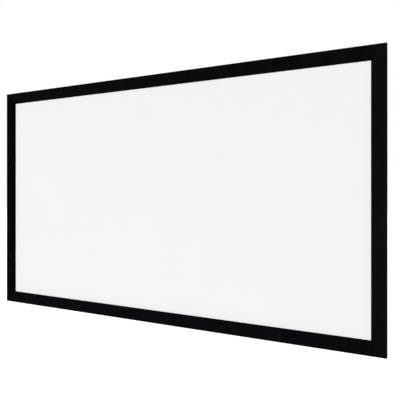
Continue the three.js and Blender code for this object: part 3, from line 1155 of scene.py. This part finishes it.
@dataclass
class VelvetCovers:
    """The velvet glued round each rail: outer side, front, bevel, lip and a tuck behind the lip."""

    finish: Mapping[Side, bpy.types.Material]
    thickness: float = 0.7 * MM
    bevel_width: float = 20 * MM
    bevel_depth: float = 17.5 * MM
    lip_edge: float = 2.1 * MM
    tuck: float = 6 * MM
    outer_radius: float = 2 * MM
    bevel_radius: float = 3 * MM
    lip_radius: float = 0.9 * MM
    seam: float = 0.04 * MM
    round_steps: int = 4

    @property
    def flat(self) -> float:
        """The width of the front between the outer fold and the bevel."""
        return SIZES.border - self.bevel_width

    def build(self) -> None:
        """Models and installs the six covers."""
        for side in Side:
            end = SIZES.half_length(side)
            if side.is_long:
                near, far = ("left", "right") if side is Side.TOP else ("right", "left")
                self._cover(f"{side.word}_{near}", side, -end, -self.seam / 2)
                self._cover(f"{side.word}_{far}", side, self.seam / 2, end)
            else:
                self._cover(side.word, side, -end, end)

    def _cover(self, place: str, side: Side, start: float, stop: float) -> None:
        """Models and installs one cover.

        Args:
            place: The cover's place as the model's nodes spell it.
            side: The side of the frame.
            start: Where the cover starts along its side.
            stop: Where it stops.
        """
        low, high = on_section(self.flat, 0, start), on_section(0, 0, stop)
        piece = add_rectangle(f"velvet_wrap_{place}", low, high, self.finish[side])
        with Shaper(piece) as shaper:
            self._fold(shaper)
            self._round_folds(shaper)
        thicken(piece, self.thickness, Growth.BEHIND)
        with Shaper(piece) as shaper:
            self._mitre(shaper, side, start, stop)
        smooth(piece, Crease.VELVET)
        flatten_shading(piece)
        place_piece(piece, SIZES.placement(side))
        install(piece, f"velvet_{place}")
        width, area = self._cut_size(side, start, stop)
        stop - start

    def _fold(self, shaper: Shaper) -> None:
        """Folds the outer side, then the bevel, lip and tuck, from the front face's edges.

        Args:
            shaper: The front face in edit mode.
        """
        shaper.select_edges(lambda a, b: max(abs(a.z), abs(b.z)) < TOUCH)
        shaper.extrude(on_section(0, SIZES.rail_depth))
        shaper.select_edges(lambda a, b: max(abs(a.z + self.flat), abs(b.z + self.flat)) < TOUCH)
        shaper.extrude(on_section(self.bevel_width, self.bevel_depth))
        shaper.extrude(on_section(0, self.lip_edge))
        shaper.extrude(on_section(-self.tuck, 0))

    def _round_folds(self, shaper: Shaper) -> None:
        """Rounds the four folds that run along the rail.

        Args:
            shaper: The folded cover in edit mode.
        """
        slope = math.atan2(self.bevel_depth, self.bevel_width)
        lip_back = self.bevel_depth + self.lip_edge
        folds = [
            (0, 0, self.outer_radius, QUARTER_TURN),
            (self.flat, 0, self.bevel_radius, slope),
            (SIZES.border, self.bevel_depth, self.lip_radius, QUARTER_TURN - slope),
            (SIZES.border, lip_back, self.lip_radius, QUARTER_TURN),
        ]
        for across, deep, radius, turn in folds:
            shaper.select_fold(on_section(across, deep))
            shaper.bevel(radius * math.tan(turn / 2), self.round_steps)

    def _mitred(self, side: Side, start: float, stop: float) -> tuple[bool, bool]:
        """Finds the ends of a cover that meet another side.

        Args:
            side: The side of the frame.
            start: Where the cover starts along its side.
            stop: Where it stops.

        Returns:
            Whether its start does, and whether its stop does.
        """
        end = SIZES.half_length(side)
        return start < -end / 2, stop > end / 2

    def _mitre(self, shaper: Shaper, side: Side, start: float, stop: float) -> None:
        """Saws the ends that meet another side at 45 degrees.

        Args:
            shaper: The thickened cover in edit mode.
            side: The side of the frame.
            start: Where the cover starts along its side.
            stop: Where it stops.
        """
        reach = SIZES.half_length(side) - self.seam * math.sqrt(0.5)
        for is_mitred, way in zip(self._mitred(side, start, stop), (-1, 1)):
            if is_mitred:
                shaper.cut(Vector((way * reach, 0, 0)), Vector((-way, 0, 1)), saw_off=True)

    def _cut_size(self, side: Side, start: float, stop: float) -> tuple[float, float]:
        """Works out the cloth before it was folded.

        Args:
            side: The side of the frame.
            start: Where the cover starts along its side.
            stop: Where it stops.

        Returns:
            The width across the folds, and the area with its mitred ends.
        """
        slant = math.hypot(self.bevel_width, self.bevel_depth)
        runs = [
            (SIZES.rail_depth, 0.0),
            (self.flat, self.flat / 2),
            (slant, SIZES.border - self.bevel_width / 2),
            (self.lip_edge, SIZES.border),
            (self.tuck, SIZES.border - self.tuck / 2),
        ]
        width = sum(run for run, _ in runs)
        lost = sum(run * setback for run, setback in runs) * sum(self._mitred(side, start, stop))
        return width, width * (stop - start) - lost


@dataclass
class TensionRods:
    """Fibreglass rods in the hems of the projection sheet, with eased ends."""

    finish: Mapping[Grain, bpy.types.Material]
    sides: int = 24
    easing: float = 0.5 * MM
    easing_steps: int = 2
    names: list[str] = field(default_factory=list)

    def build(self) -> None:
        """Models and installs the six rods."""
        for node in solids_named("tension_rod_"):
            low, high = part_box(node)
            self._rod(node, low, high)

    def _rod(self, node: str, low: Vector, high: Vector) -> None:
        """Models and installs one rod.

        Args:
            node: The solid that it stands for.
            low: The low corner of the solid's box.
            high: The high corner.
        """
        grain = Grain.ALONG_X if high.x - low.x > high.z - low.z else Grain.ALONG_Z
        piece = add_primitive(
            bpy.ops.mesh.primitive_cylinder_add,
            node.replace("tension", "hem"),
            self.finish[grain],
            vertices=self.sides,
            radius=SIZES.rod_radius,
            depth=max(high - low),
            location=(low + high) / 2,
            rotation=(0, QUARTER_TURN if grain is Grain.ALONG_X else 0, 0),
        )
        axis = Vector(grain.value)
        middle = axis.dot(low + high) / 2
        reach = max(high - low) / 2
        with Shaper(piece) as shaper:
            shaper.select_edges(
                lambda a, b: min(abs(axis.dot(p) - middle) for p in (a, b)) > reach - TOUCH
                and abs(axis.dot(a - b)) < TOUCH
            )
            shaper.bevel(self.easing, self.easing_steps)
        smooth(piece, Crease.ROUND)
        install(piece, node)
        self.names.append(piece.name)


@dataclass
class ProjectionSheet:
    """The taut sheet: a flat field, and sleeves folded back round the rods between notches."""

    finishes: Sequence[bpy.types.Material]
    rods: Sequence[str]
    thickness: float = 0.4 * MM
    notch_half: float = 12 * MM
    notch_inner: float = 71.5 * MM
    sleeve_end: float = 100 * MM
    slack: float = 0.3 * MM
    weld_start: float = 72.5 * MM
    weld_width: float = 5 * MM
    # How many thicknesses the middles of the two layers are apart at the weld
    weld_spacing: float = 1.05
    loop_steps: int = 12

    @property
    def loop_radius(self) -> float:
        """The radius of a sleeve's middle line round its rod."""
        return SIZES.rod_radius + self.slack + self.thickness / 2

    @property
    def field_half(self) -> tuple[float, float]:
        """Half the width and height of the field between the notch lines."""
        return SIZES.half_width - self.notch_inner, SIZES.half_height - self.notch_inner

    def _sleeve_reach(self, side: Side) -> float:
        """How far from the middle of a side its sleeves reach."""
        return SIZES.half_length(side) - self.sleeve_end

    def build(self) -> None:
        """Models and installs the sheet."""
        middle = SIZES.rod_deep - self.loop_radius
        across, up = self.field_half
        level, corner = Vector((0, SIZES.front + middle, 0)), Vector((across, 0, up))
        piece = add_rectangle("projection_sheet", level - corner, level + corner, *self.finishes)
        steps = self._loop_path(middle)
        with Shaper(piece) as shaper:
            self._mark_notches(shaper)
            for side in Side:
                self._sleeve(shaper, side, steps)
        thicken(piece, self.thickness, back_slot=1)
        smooth(piece, Crease.ROUND)
        install(piece, "screen_sheet")
        self._declare(steps)

    def _loop_path(self, middle: float) -> list[Vector]:
        """The steps that fold a sleeve.

        Args:
            middle: How deep the middle of the sheet's thickness lies.

        Returns:
            The moves in a side's own axes, from the notch line round the rod to the weld's end.
        """
        radius = self.loop_radius
        weld_deep = middle + self.thickness * self.weld_spacing
        reach = self.weld_start - SIZES.rod_across
        drop = weld_deep - SIZES.rod_deep
        first = 3 * QUARTER_TURN
        last = math.atan2(drop, reach) + math.acos(radius / math.hypot(reach, drop))
        points = [(self.notch_inner, middle)]
        for step in range(self.loop_steps + 1):
            angle = first + (last - first) * step / self.loop_steps
            across = SIZES.rod_across + radius * math.cos(angle)
            points.append((across, SIZES.rod_deep + radius * math.sin(angle)))
        points.append((self.weld_start, weld_deep))
        points.append((self.weld_start + self.weld_width, weld_deep))
        return [on_section(*b) - on_section(*a) for a, b in zip(points, points[1:])]

    def _mark_notches(self, shaper: Shaper) -> None:
        """Cuts the field along the edges of every notch and at the sleeves' ends.

        Args:
            shaper: The field in edit mode.
        """
        for side in (Side.TOP, Side.RIGHT):
            reach = self._sleeve_reach(side)
            marks = [-reach, reach]
            for place in spring_places(side).values():
                marks += [place - self.notch_half, place + self.notch_half]
            turn = SIZES.placement(side).to_3x3()
            for mark in marks:
                shaper.cut(turn @ Vector((mark, 0, 0)), turn @ Vector((1, 0, 0)))

    def _sleeve(self, shaper: Shaper, side: Side, steps: Sequence[Vector]) -> None:
        """Folds the sleeves of one side back round its rods.

        Args:
            shaper: The field in edit mode.
            side: The side of the frame.
            steps: The moves that fold a sleeve.
        """
        placement = SIZES.placement(side)
        back = placement.inverted()
        places = spring_places(side).values()

        def is_sleeve(a: Vector, b: Vector) -> bool:
            """Says whether an edge of the field carries a sleeve.

            Args:
                a: One end of the edge.
                b: The other end.

            Returns:
                Whether it lies on the notch line, between two notches.
            """
            start, stop = back @ a, back @ b
            middle = (start.x + stop.x) / 2
            on_edge = all(abs(end.z + self.notch_inner) < TOUCH for end in (start, stop))
            return (
                on_edge
                and abs(middle) < self._sleeve_reach(side)
                and all(abs(middle - place) > self.notch_half for place in places)
            )

        shaper.select_edges(is_sleeve)
        for step in steps:
            shaper.extrude(placement.to_3x3() @ step)

    def _declare(self, steps: Sequence[Vector]) -> None:
        """Says how large the sheet was cut.

        Args:
            steps: The moves that fold a sleeve.
        """
        hem = sum(step.length for step in steps)
        width, height = (2 * half for half in self.field_half)
        sleeves = 0.0
        for side in Side:
            notches = 2 * self.notch_half * len(spring_places(side))
            sleeves += 2 * self._sleeve_reach(side) - notches
        flat = (width + 2 * hem, height + 2 * hem)
        area = width * height + sleeves * hem
        LOG.info("the sheet was cut to %.4f by %.4f m, %.4f square metres", *flat, area)


@dataclass
class TensionSprings:
    """Coil springs that pull the rods towards the ledges, with an open hook at both ends."""

    finish: Mapping[Grain, bpy.types.Material]
    wire: float = 1.2 * MM
    wire_sides: int = 8
    # How far from the wire's middle the corners of its open end are looked for
    rim_reach: float = 0.72 * MM
    outer: float = 8 * MM
    turns: int = 11
    turn_steps: int = 16
    elbow: float = 1.2 * MM
    elbow_steps: int = 4
    hook_turn: float = math.radians(112)
    hook_steps: int = 9
    ledge_across: float = 39.4 * MM
    ledge_deep: float = 24 * MM

    @property
    def mean(self) -> float:
        """The radius of the wire's middle line in the coil."""
        return (self.outer - self.wire) / 2

    @property
    def hook(self) -> float:
        """The radius of the wire's middle line in a hook."""
        return math.hypot(self.mean, self.elbow)

    def build(self) -> None:
        """Models one spring and installs a copy at every place."""
        pattern = self._model()
        for side in Side:
            finish = self.finish[GRAIN_OF_SIDE[side]]
            for node, along in spring_places(side).items():
                placement = SIZES.placement(side, along)
                install_copy(pattern, f"coil_{node}", placement, "spring_steel", node, finish)
        discard(pattern)

    def _model(self) -> bpy.types.Object:
        """Winds the coil, then bends a hook out of each end.

        Returns:
            The spring in a side's own axes.
        """
        inner = self.hook - self.wire / 2
        over_ledge = self.ledge_deep - SIZES.rod_deep
        ledge_hook = self.ledge_across + math.sqrt(inner**2 - over_ledge**2)
        rod_hook = SIZES.rod_across - (inner - SIZES.rod_radius)
        start = ledge_hook + self.mean + self.wire / 2
        stop = rod_hook - self.mean - self.wire / 2
        phase = math.atan2(self.elbow, self.mean)
        piece = self._winding(start, stop, phase)
        with Shaper(piece) as shaper:
            self._bend_hook(shaper, QUARTER_TURN - phase, start, ledge_hook, -1)
            self._bend_hook(shaper, QUARTER_TURN + phase, stop, rod_hook, 1)
            shaper.tidy()
        smooth(piece, Crease.WIRE)
        return piece

    def _winding(self, start: float, stop: float, phase: float) -> bpy.types.Object:
        """Winds the wire's round section about the spring's axis.

        Args:
            start: Where the coil starts across the side.
            stop: Where it stops.
            phase: How far each end stops short of the back of the coil.

        Returns:
            The open coil in a side's own axes.
        """
        piece = add_primitive(
            bpy.ops.mesh.primitive_circle_add,
            "spring_pattern",
            vertices=self.wire_sides,
            radius=self.wire / 2,
            location=(self.mean, 0, 0),
            rotation=(QUARTER_TURN, 0, 0),
        )
        steps = self.turns * self.turn_steps
        apply_modifier(
            piece,
            "SCREW",
            angle=math.tau * self.turns - 2 * phase,
            screw_offset=stop - start,
            steps=steps,
            render_steps=steps,
        )
        upright = Matrix.Translation(on_section(start, SIZES.rod_deep))
        over = Matrix.Rotation(2 * QUARTER_TURN, 4, "X")
        place_piece(piece, upright @ over @ Matrix.Rotation(phase - QUARTER_TURN, 4, "Z"))
        return piece

    def _bend_hook(
        self, shaper: Shaper, angle: float, end: float, centre: float, facing: int
    ) -> None:
        """Bends one end of the wire out of the coil and round what it pulls on.

        Args:
            shaper: The spring in edit mode.
            angle: The angle of the coil's end, from X towards the wall.
            end: Where the coil's end lies across the side.
            centre: Where the hook's centre lies across the side.
            facing: 1 at the rod, and -1 at the ledge.
        """
        tip = on_section(end, SIZES.rod_deep + self.mean * math.sin(angle))
        tip.x = self.mean * math.cos(angle)
        heading = Vector((math.sin(angle), -math.cos(angle), 0)) * facing
        away = on_section(facing, 0)
        shaper.select_edges(lambda a, b: max((a - tip).length, (b - tip).length) < self.rim_reach)
        shaper.spin(tip + away * self.elbow, heading.cross(away), QUARTER_TURN, self.elbow_steps)
        shaper.extrude(away * (abs(centre - end) - self.elbow))
        hub = on_section(centre, SIZES.rod_deep)
        shaper.spin(hub, Vector((0, 1, 0)).cross(away), self.hook_turn, self.hook_steps)
        shaper.close_ring()


@dataclass
class Rails:
    """The black anodised extrusions, with their edges broken as a polished die leaves them."""

    finish: Mapping[Grain, bpy.types.Material]
    broken_edge: float = 0.25 * MM

    def build(self) -> None:
        """Installs an eased copy of each extrusion."""
        for node in solids_named("rail_"):
            place = node.removeprefix("rail_")
            side = Side[place.split("_")[0].upper()]
            piece = copy_piece(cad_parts[node], f"extrusion_{place}")
            for key in [key for key in piece.keys() if key.startswith("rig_")]:
                del piece[key]
            piece.data.materials.clear()
            piece.data.materials.append(self.finish[GRAIN_OF_SIDE[side]])
            with Shaper(piece) as shaper:
                shaper.merge_facets()
            ease_edges(piece, self.broken_edge)
            install(piece, node)


@dataclass
class ChannelInserts:
    """The steel corner brackets and splice bars in the back channel, with their set screws."""

    plate: bpy.types.Material
    steel: bpy.types.Material
    thickness: float = 6 * MM
    front: float = 28.1 * MM
    outer: float = 2.9 * MM
    inner: float = 33.7 * MM
    leg: float = 130 * MM
    corner_radius: float = 2 * MM
    corner_steps: int = 3
    corner_screws: tuple[float, ...] = (62 * MM, 108 * MM)
    splice_half: float = 120 * MM
    splice_screws: tuple[float, ...] = (-95 * MM, -35 * MM, 35 * MM, 95 * MM)
    mouth_middle: float = 17 * MM
    screw_radius: float = 3 * MM
    screw_front: float = 26.3 * MM
    screw_point: float = 0.9 * MM
    screw_rim: float = 0.3 * MM
    screw_rim_steps: int = 2
    thread_gap: float = 0.2 * MM
    socket_sides: int = 6
    socket_width: float = 3.4 * MM
    socket_depth: float = 3 * MM
    broken_edge: float = 0.4 * MM
    corners: tuple[str, ...] = ("top_left", "top_right", "bottom_right", "bottom_left")

    @property
    def back(self) -> float:
        """How deep the plates' back faces lie."""
        return self.front + self.thickness

    def build(self) -> None:
        """Models a bracket, a splice bar and a set screw, and installs their copies."""
        screw = self._set_screw()
        bracket, bar = self._bracket(screw), self._splice_bar(screw)
        for side, corner in zip(Side, self.corners):
            placement = SIZES.placement(side, -SIZES.half_length(side))
            name, node = f"corner_plate_{corner}", f"corner_bracket_{corner}"
            install_copy(bracket, name, placement, "zinc_steel", node)
        for side in (Side.TOP, Side.BOTTOM):
            name, node = f"splice_plate_{side.word}", f"splice_bar_{side.word}"
            install_copy(bar, name, SIZES.placement(side), "zinc_steel", node)
        discard(screw, bracket, bar)

    def _set_screw(self) -> bpy.types.Object:
        """Models a set screw with its point, rim and hexagon socket.

        Returns:
            The screw at the origin of a side's axes.
        """
        radius, front, back = self.screw_radius, self.screw_front, self.back
        piece = add_pin("set_screw", radius, front, back, (0, 0), self.steel)
        with Shaper(piece) as shaper:
            shaper.select_edges(lambda a, b: max(a.y, b.y) < front + TOUCH)
            shaper.bevel(self.screw_point, 1)
            shaper.select_edges(lambda a, b: min(a.y, b.y) > back - TOUCH)
            shaper.bevel(self.screw_rim, self.screw_rim_steps)
        reach = self.socket_width / 2 / math.cos(math.pi / self.socket_sides)
        bottom = back - self.socket_depth
        cut_away(piece, add_pin("socket", reach, bottom, back + OVERRUN, sides=self.socket_sides))
        smooth(piece, Crease.SET_SCREW)
        return piece

    def _fit_screws(
        self,
        piece: bpy.types.Object,
        screw: bpy.types.Object,
        places: Sequence[tuple[float, float]],
    ) -> bpy.types.Object:
        """Gives a flat plate its thickness, holes, broken edges and set screws.

        Args:
            piece: The plate.
            screw: The set screw that is copied.
            places: The places of the holes, along the side and across it.

        Returns:
            The plate with its screws.
        """
        thicken(piece, self.thickness, Growth.BEHIND)
        hole = self.screw_radius + self.thread_gap
        front, back = self.front - OVERRUN, self.back + OVERRUN
        cut_away(piece, *(add_pin("drill", hole, front, back, place) for place in places))
        ease_edges(piece, self.broken_edge)
        screws = []
        for along, across in places:
            copy = copy_piece(screw, "set_screw_copy")
            place_piece(copy, Matrix.Translation(on_section(across, 0, along)))
            screws.append(copy)
        return join_pieces([piece, *screws])

    def _bracket(self, screw: bpy.types.Object) -> bpy.types.Object:
        """Models the L of a corner.

        Args:
            screw: The set screw that is copied.

        Returns:
            The bracket, with the frame's outer corner at the origin.
        """
        low = on_section(self.inner, self.front, self.outer)
        high = on_section(self.outer, self.front, self.inner)
        piece = add_rectangle("corner_plate", low, high, self.plate)
        run = self.leg - self.inner
        bound = self.inner - TOUCH
        with Shaper(piece) as shaper:
            shaper.select_edges(lambda a, b: min(a.x, b.x) > bound)
            shaper.extrude(Vector((run, 0, 0)))
            shaper.select_edges(
                lambda a, b: min(-a.z, -b.z) > bound and max(a.x, b.x) < self.inner + TOUCH
            )
            shaper.extrude(Vector((0, 0, -run)))
            shaper.select_points(lambda p: max(p.x, -p.z) > self.leg - TOUCH)
            shaper.round_corners(self.corner_radius, self.corner_steps)
        reaches = [(reach, self.mouth_middle) for reach in self.corner_screws]
        places = reaches + [(across, along) for along, across in reaches]
        return self._fit_screws(piece, screw, places)

    def _splice_bar(self, screw: bpy.types.Object) -> bpy.types.Object:
        """Models the bar that joins two rail halves.

        Args:
            screw: The set screw that is copied.

        Returns:
            The bar, with its middle at the origin.
        """
        low = on_section(self.inner, self.front, -self.splice_half)
        high = on_section(self.outer, self.front, self.splice_half)
        piece = add_rectangle("splice_plate", low, high, self.plate)
        with Shaper(piece) as shaper:
            shaper.select_points(lambda p: abs(p.x) > 0)
            shaper.round_corners(self.corner_radius, self.corner_steps)
        places = [(reach, self.mouth_middle) for reach in self.splice_screws]
        return self._fit_screws(piece, screw, places)


@dataclass
class WallBrackets:
    """Folded steel brackets that hook into the back channel, with holes for the wall screws."""

    finish: bpy.types.Material
    width: float = 80 * MM
    thickness: float = 2 * MM
    hook_across: float = 5 * MM
    hook_deep: float = 33.1 * MM
    web_across: float = 11.3 * MM
    plate_across: float = 75 * MM
    bend: float = 2 * MM
    bend_steps: int = 5
    corner: float = 6 * MM
    corner_steps: int = 6
    hook_corner: float = 2 * MM
    hook_corner_steps: int = 3
    hole_radius: float = 3.25 * MM
    hole_across: float = 58.3 * MM
    slot_across: float = 28.3 * MM
    slot_length: float = 16 * MM
    spread: float = 22 * MM
    broken_edge: float = 0.25 * MM

    @property
    def plate_deep(self) -> float:
        """How deep the middle of the wall plate lies."""
        return SIZES.wall - SIZES.front - self.thickness / 2

    def build(self) -> None:
        """Models one bracket and installs its four copies."""
        pattern = self._model()
        for side in (Side.TOP, Side.BOTTOM):
            for end in ("left", "right"):
                node = f"wall_bracket_{side.word}_{end}"
                placement = SIZES.placement(side, SIZES.along(side, node))
                name = f"hook_plate_{side.word}_{end}"
                install_copy(pattern, name, placement, "zinc_steel", node)
        discard(pattern)

    def _model(self) -> bpy.types.Object:
        """Folds the bracket out of one strip, drills it and breaks its edges.

        Returns:
            The bracket in a side's own axes.
        """
        half = self.width / 2
        low = on_section(self.plate_across, self.plate_deep, -half)
        high = on_section(self.web_across, self.plate_deep, half)
        piece = add_rectangle("hook_plate", low, high, self.finish)
        with Shaper(piece) as shaper:
            shaper.select_fold(on_section(self.web_across, self.plate_deep))
            shaper.extrude(on_section(0, self.hook_deep - self.plate_deep))
            shaper.extrude(on_section(self.hook_across - self.web_across, 0))
            for deep in (self.plate_deep, self.hook_deep):
                shaper.select_fold(on_section(self.web_across, deep))
                shaper.bevel(self.bend, self.bend_steps)
            shaper.select_points(lambda p: -p.z > self.plate_across - TOUCH)
            shaper.round_corners(self.corner, self.corner_steps)
            shaper.select_points(lambda p: -p.z < self.hook_across + TOUCH)
            shaper.round_corners(self.hook_corner, self.hook_corner_steps)
        thicken(piece, self.thickness)
        cut_away(piece, *self._drills())
        ease_edges(piece, self.broken_edge)
        return piece

    def _drills(self) -> list[bpy.types.Object]:
        """Makes the cutters of the round holes and the slots.

        Returns:
            The cutters, in place.
        """
        past = self.thickness / 2 + OVERRUN
        front, back = self.plate_deep - past, self.plate_deep + past
        radius = self.hole_radius
        straight = self.slot_length / 2 - radius
        drills = []
        for along in (-self.spread, self.spread):
            drills.append(add_pin("drill", radius, front, back, (along, self.hole_across)))
            slot = add_pin("slot", radius, front, back, (along, self.slot_across))
            with Shaper(slot) as shaper:
                for way in (-1, 1):
                    shaper.select_points(lambda p: (p.x - along) * way > TOUCH)
                    shaper.move(Vector((way * straight, 0, 0)))
            drills.append(slot)
        return drills


@dataclass
class CentreSupport:
    """The channel bar behind the sheet's middle, with a hooked clip and screws at each end."""

    bar: bpy.types.Material
    clip: bpy.types.Material
    steel: bpy.types.Material
    wall: float = 1.5 * MM
    half_width: float = 15 * MM
    flange_front: float = 27.5 * MM
    bend: float = 1.5 * MM
    round_steps: int = 4
    clip_half: float = 13 * MM
    clip_outer: float = 22.2 * MM
    clip_inner: float = 66.2 * MM
    clip_deep: float = 37.05 * MM
    clip_bend: float = 1 * MM
    clip_corner: float = 3 * MM
    tongue_front: float = 34.7 * MM
    screw_across: tuple[float, ...] = (46.2 * MM, 58.2 * MM)
    screw_radius: float = 1.75 * MM
    screw_gap: float = 0.3 * MM
    screw_length: float = 5 * MM
    head_radius: float = 3.5 * MM
    head_height: float = 2 * MM
    head_round: float = 1.2 * MM
    cross_length: float = 4.2 * MM
    cross_width: float = 0.9 * MM
    cross_depth: float = 1.3 * MM
    broken_edge: float = 0.2 * MM

    def build(self) -> None:
        """Models and installs the bar and its clips."""
        self._bar()
        pattern = self._clip()
        for side in (Side.TOP, Side.BOTTOM):
            name, node = f"hook_clip_{side.word}", f"support_clip_{side.word}"
            install_copy(pattern, name, SIZES.placement(side), "zinc_steel", node)
        discard(pattern)

    def _bar(self) -> None:
        """Folds the bar along its whole length, drills it for the clips' screws and installs it."""
        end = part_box("support_bar")[1].z
        web = SIZES.front + SIZES.rail_depth - self.wall / 2
        side = self.half_width - self.wall / 2
        low, high = Vector((-side, web, -end)), Vector((side, web, end))
        piece = add_rectangle("support_channel", low, high, self.bar)
        with Shaper(piece) as shaper:
            for way in (-1, 1):
                shaper.select_edges(lambda a, b: min(a.x * way, b.x * way) > side - TOUCH)
                shaper.extrude(Vector((0, SIZES.front + self.flange_front - web, 0)))
            for way in (-1, 1):
                shaper.select_edges(
                    lambda a, b: min(a.x * way, b.x * way) > side - TOUCH
                    and min(a.y, b.y) > web - TOUCH
                )
                shaper.bevel(self.bend, self.round_steps)
        thicken(piece, self.wall)
        radius = self.screw_radius + self.screw_gap
        front, back = SIZES.rail_depth - 2 * self.wall, SIZES.rail_depth + OVERRUN
        for end_side in (Side.TOP, Side.BOTTOM):
            for across in self.screw_across:
                drill = add_pin("drill", radius, front, back, (0, across))
                place_piece(drill, SIZES.placement(end_side))
                cut_away(piece, drill)
        ease_edges(piece, self.broken_edge)
        install(piece, "support_bar")

    def _clip(self) -> bpy.types.Object:
        """Models a clip with its tongue and its two screws.

        Returns:
            The clip in a side's own axes.
        """
        hook = self.clip_outer + self.wall / 2
        fold = on_section(hook, self.clip_deep)
        low = on_section(self.clip_inner, self.clip_deep, -self.clip_half)
        high = on_section(hook, self.clip_deep, self.clip_half)
        piece = add_rectangle("hook_clip", low, high, self.clip)
        with Shaper(piece) as shaper:
            shaper.select_fold(fold)
            shaper.extrude(on_section(0, self.tongue_front - self.clip_deep))
            shaper.select_fold(fold)
            shaper.bevel(self.clip_bend, self.round_steps)
            shaper.select_points(lambda p: -p.z > self.clip_inner - TOUCH)
            shaper.round_corners(self.clip_corner, self.round_steps)
        thicken(piece, self.wall)
        ease_edges(piece, self.broken_edge)
        return join_pieces([piece, *(self._screw(across) for across in self.screw_across)])

    def _screw(self, across: float) -> bpy.types.Object:
        """Models a pan head screw with a cross recess.

        Args:
            across: Its place across the side.

        Returns:
            The screw in a side's own axes.
        """
        seat = self.clip_deep + self.wall / 2
        top = seat + self.head_height
        place = (0.0, across)
        head = add_pin("head", self.head_radius, seat - TOUCH, top, place, self.steel)
        with Shaper(head) as shaper:
            shaper.select_edges(lambda a, b: min(a.y, b.y) > top - TOUCH)
            shaper.bevel(self.head_round, self.round_steps)
        smooth(head, Crease.ROUND)
        length, width = self.cross_length, self.cross_width
        for sizes in ((length, width), (width, length)):
            recess = add_primitive(
                bpy.ops.mesh.primitive_cube_add,
                "recess",
                stretch=(sizes[0], 2 * self.cross_depth, sizes[1]),
                size=1,
                location=on_section(across, top),
            )
            cut_away(head, recess)
        tip = seat - self.screw_length
        shank = add_pin("shank", self.screw_radius, tip, seat, place, self.steel)
        smooth(shank, Crease.ROUND)
        return join_pieces([head, shank])


@dataclass
class Studio:
    """A pale floor, plain soft light and the camera."""

    ambient: float = 0.24
    key_from: tuple[float, float, float] = (0.28, -1.0, 0.27)
    key_level: float = 0.613
    key_softness: float = math.radians(26)
    back_from: tuple[float, float, float] = (-0.5, 1.0, 0.4)
    back_level: float = 0.5
    back_softness: float = math.radians(36)
    lamp_distance: float = 6.0
    floor_drop: float = 0.9
    floor_size: float = 80.0
    floor_shade: float = 0.86
    floor_bright: float = 0.8772
    floor_speckle: float = 20 * MM
    floor_glow: float = 0.62
    camera_place: tuple[float, float, float] = (1.5583, -2.5342, 0.0457)
    camera_turn: float = math.radians(26.24)
    lens: float = 40.0
    sensor: float = 36.0
    rise: float = -0.0203

    def build(self) -> None:
        """Sets up the floor, the light and the camera."""
        self._floor()
        self._world()
        self._lamp("key_light", self.key_from, self.key_level, self.key_softness)
        self._lamp("back_light", self.back_from, self.back_level, self.back_softness)
        self._camera()
        bpy.context.scene.view_settings.view_transform = "Standard"
        LOG.info("studio: floor, world, two lamps and camera")

    def _floor(self) -> None:
        """Lays the floor under the wall-hung screen."""
        maker = MaterialMaker("pale floor")
        speckle = maker.noise(maker.places(), self.floor_speckle, detail=2)
        shade, bright = (self.floor_shade,) * 3, (self.floor_bright,) * 3
        finish = maker.dress(
            Base_Color=maker.blend(speckle, shade, bright),
            Roughness=0.9,
            Emission_Color=maker.blend(maker.background_rays(), BLACK, WHITE),
            Emission_Strength=self.floor_glow,
        )
        floor = add_primitive(
            bpy.ops.mesh.primitive_plane_add,
            "studio_floor",
            finish,
            size=self.floor_size,
            location=(0, 0, -SIZES.half_height - self.floor_drop),
        )

    def _world(self) -> None:
        """Makes a white surround that lights the object at the ambient level."""
        world = bpy.data.worlds.new("white studio")
        world.use_nodes = True
        bpy.context.scene.world = world
        maker = NodeMaker(world.node_tree)
        background = maker.tree.nodes["Background"]
        surround = maker.blend(maker.background_rays(), (self.ambient,) * 3, WHITE)
        maker.feed(background.inputs["Color"], surround)

    def _lamp(
        self, name: str, direction: tuple[float, float, float], level: float, softness: float
    ) -> None:
        """Adds a soft lamp, high enough that the floor hides no part of it.

        Args:
            name: The lamp's name.
            direction: Where its light comes from.
            level: How bright it makes a white surface that faces along Y, where 1 is white.
            softness: How wide the lamp looks from the object, as an angle.
        """
        source = Vector(direction).normalized()
        bpy.ops.object.light_add(type="SUN", location=source * self.lamp_distance)
        lamp = bpy.context.active_object
        lamp.name = name
        lamp.rotation_euler = source.to_track_quat("Z", "Y").to_euler()
        lamp.data.angle = softness
        lamp.data.energy = level * math.pi / abs(source.y)

    def _camera(self) -> None:
        """Sets the camera where the photograph was taken."""
        bpy.ops.object.camera_add(
            location=self.camera_place, rotation=(QUARTER_TURN, 0, self.camera_turn)
        )
        camera = bpy.context.active_object
        camera.name = "camera"
        camera.data.lens = self.lens
        camera.data.sensor_width = self.sensor
        camera.data.shift_y = self.rise
        bpy.context.scene.camera = camera


def main() -> None:
    """Builds and dresses the screen, then its studio."""
    logging.basicConfig(level=logging.INFO, format="%(message)s")
    finishes = Finishes()
    VelvetCovers(finishes.velvet).build()
    rods = TensionRods(finishes.rod)
    rods.build()
    ProjectionSheet([finishes.sheet, finishes.sheet_back], rods.names).build()
    TensionSprings(finishes.wire).build()
    Rails(finishes.rail).build()
    ChannelInserts(finishes.zinc, finishes.screw).build()
    WallBrackets(finishes.zinc).build()
    CentreSupport(finishes.bar, finishes.zinc, finishes.screw).build()
    Studio().build()


if __name__ == "__main__":
    main()
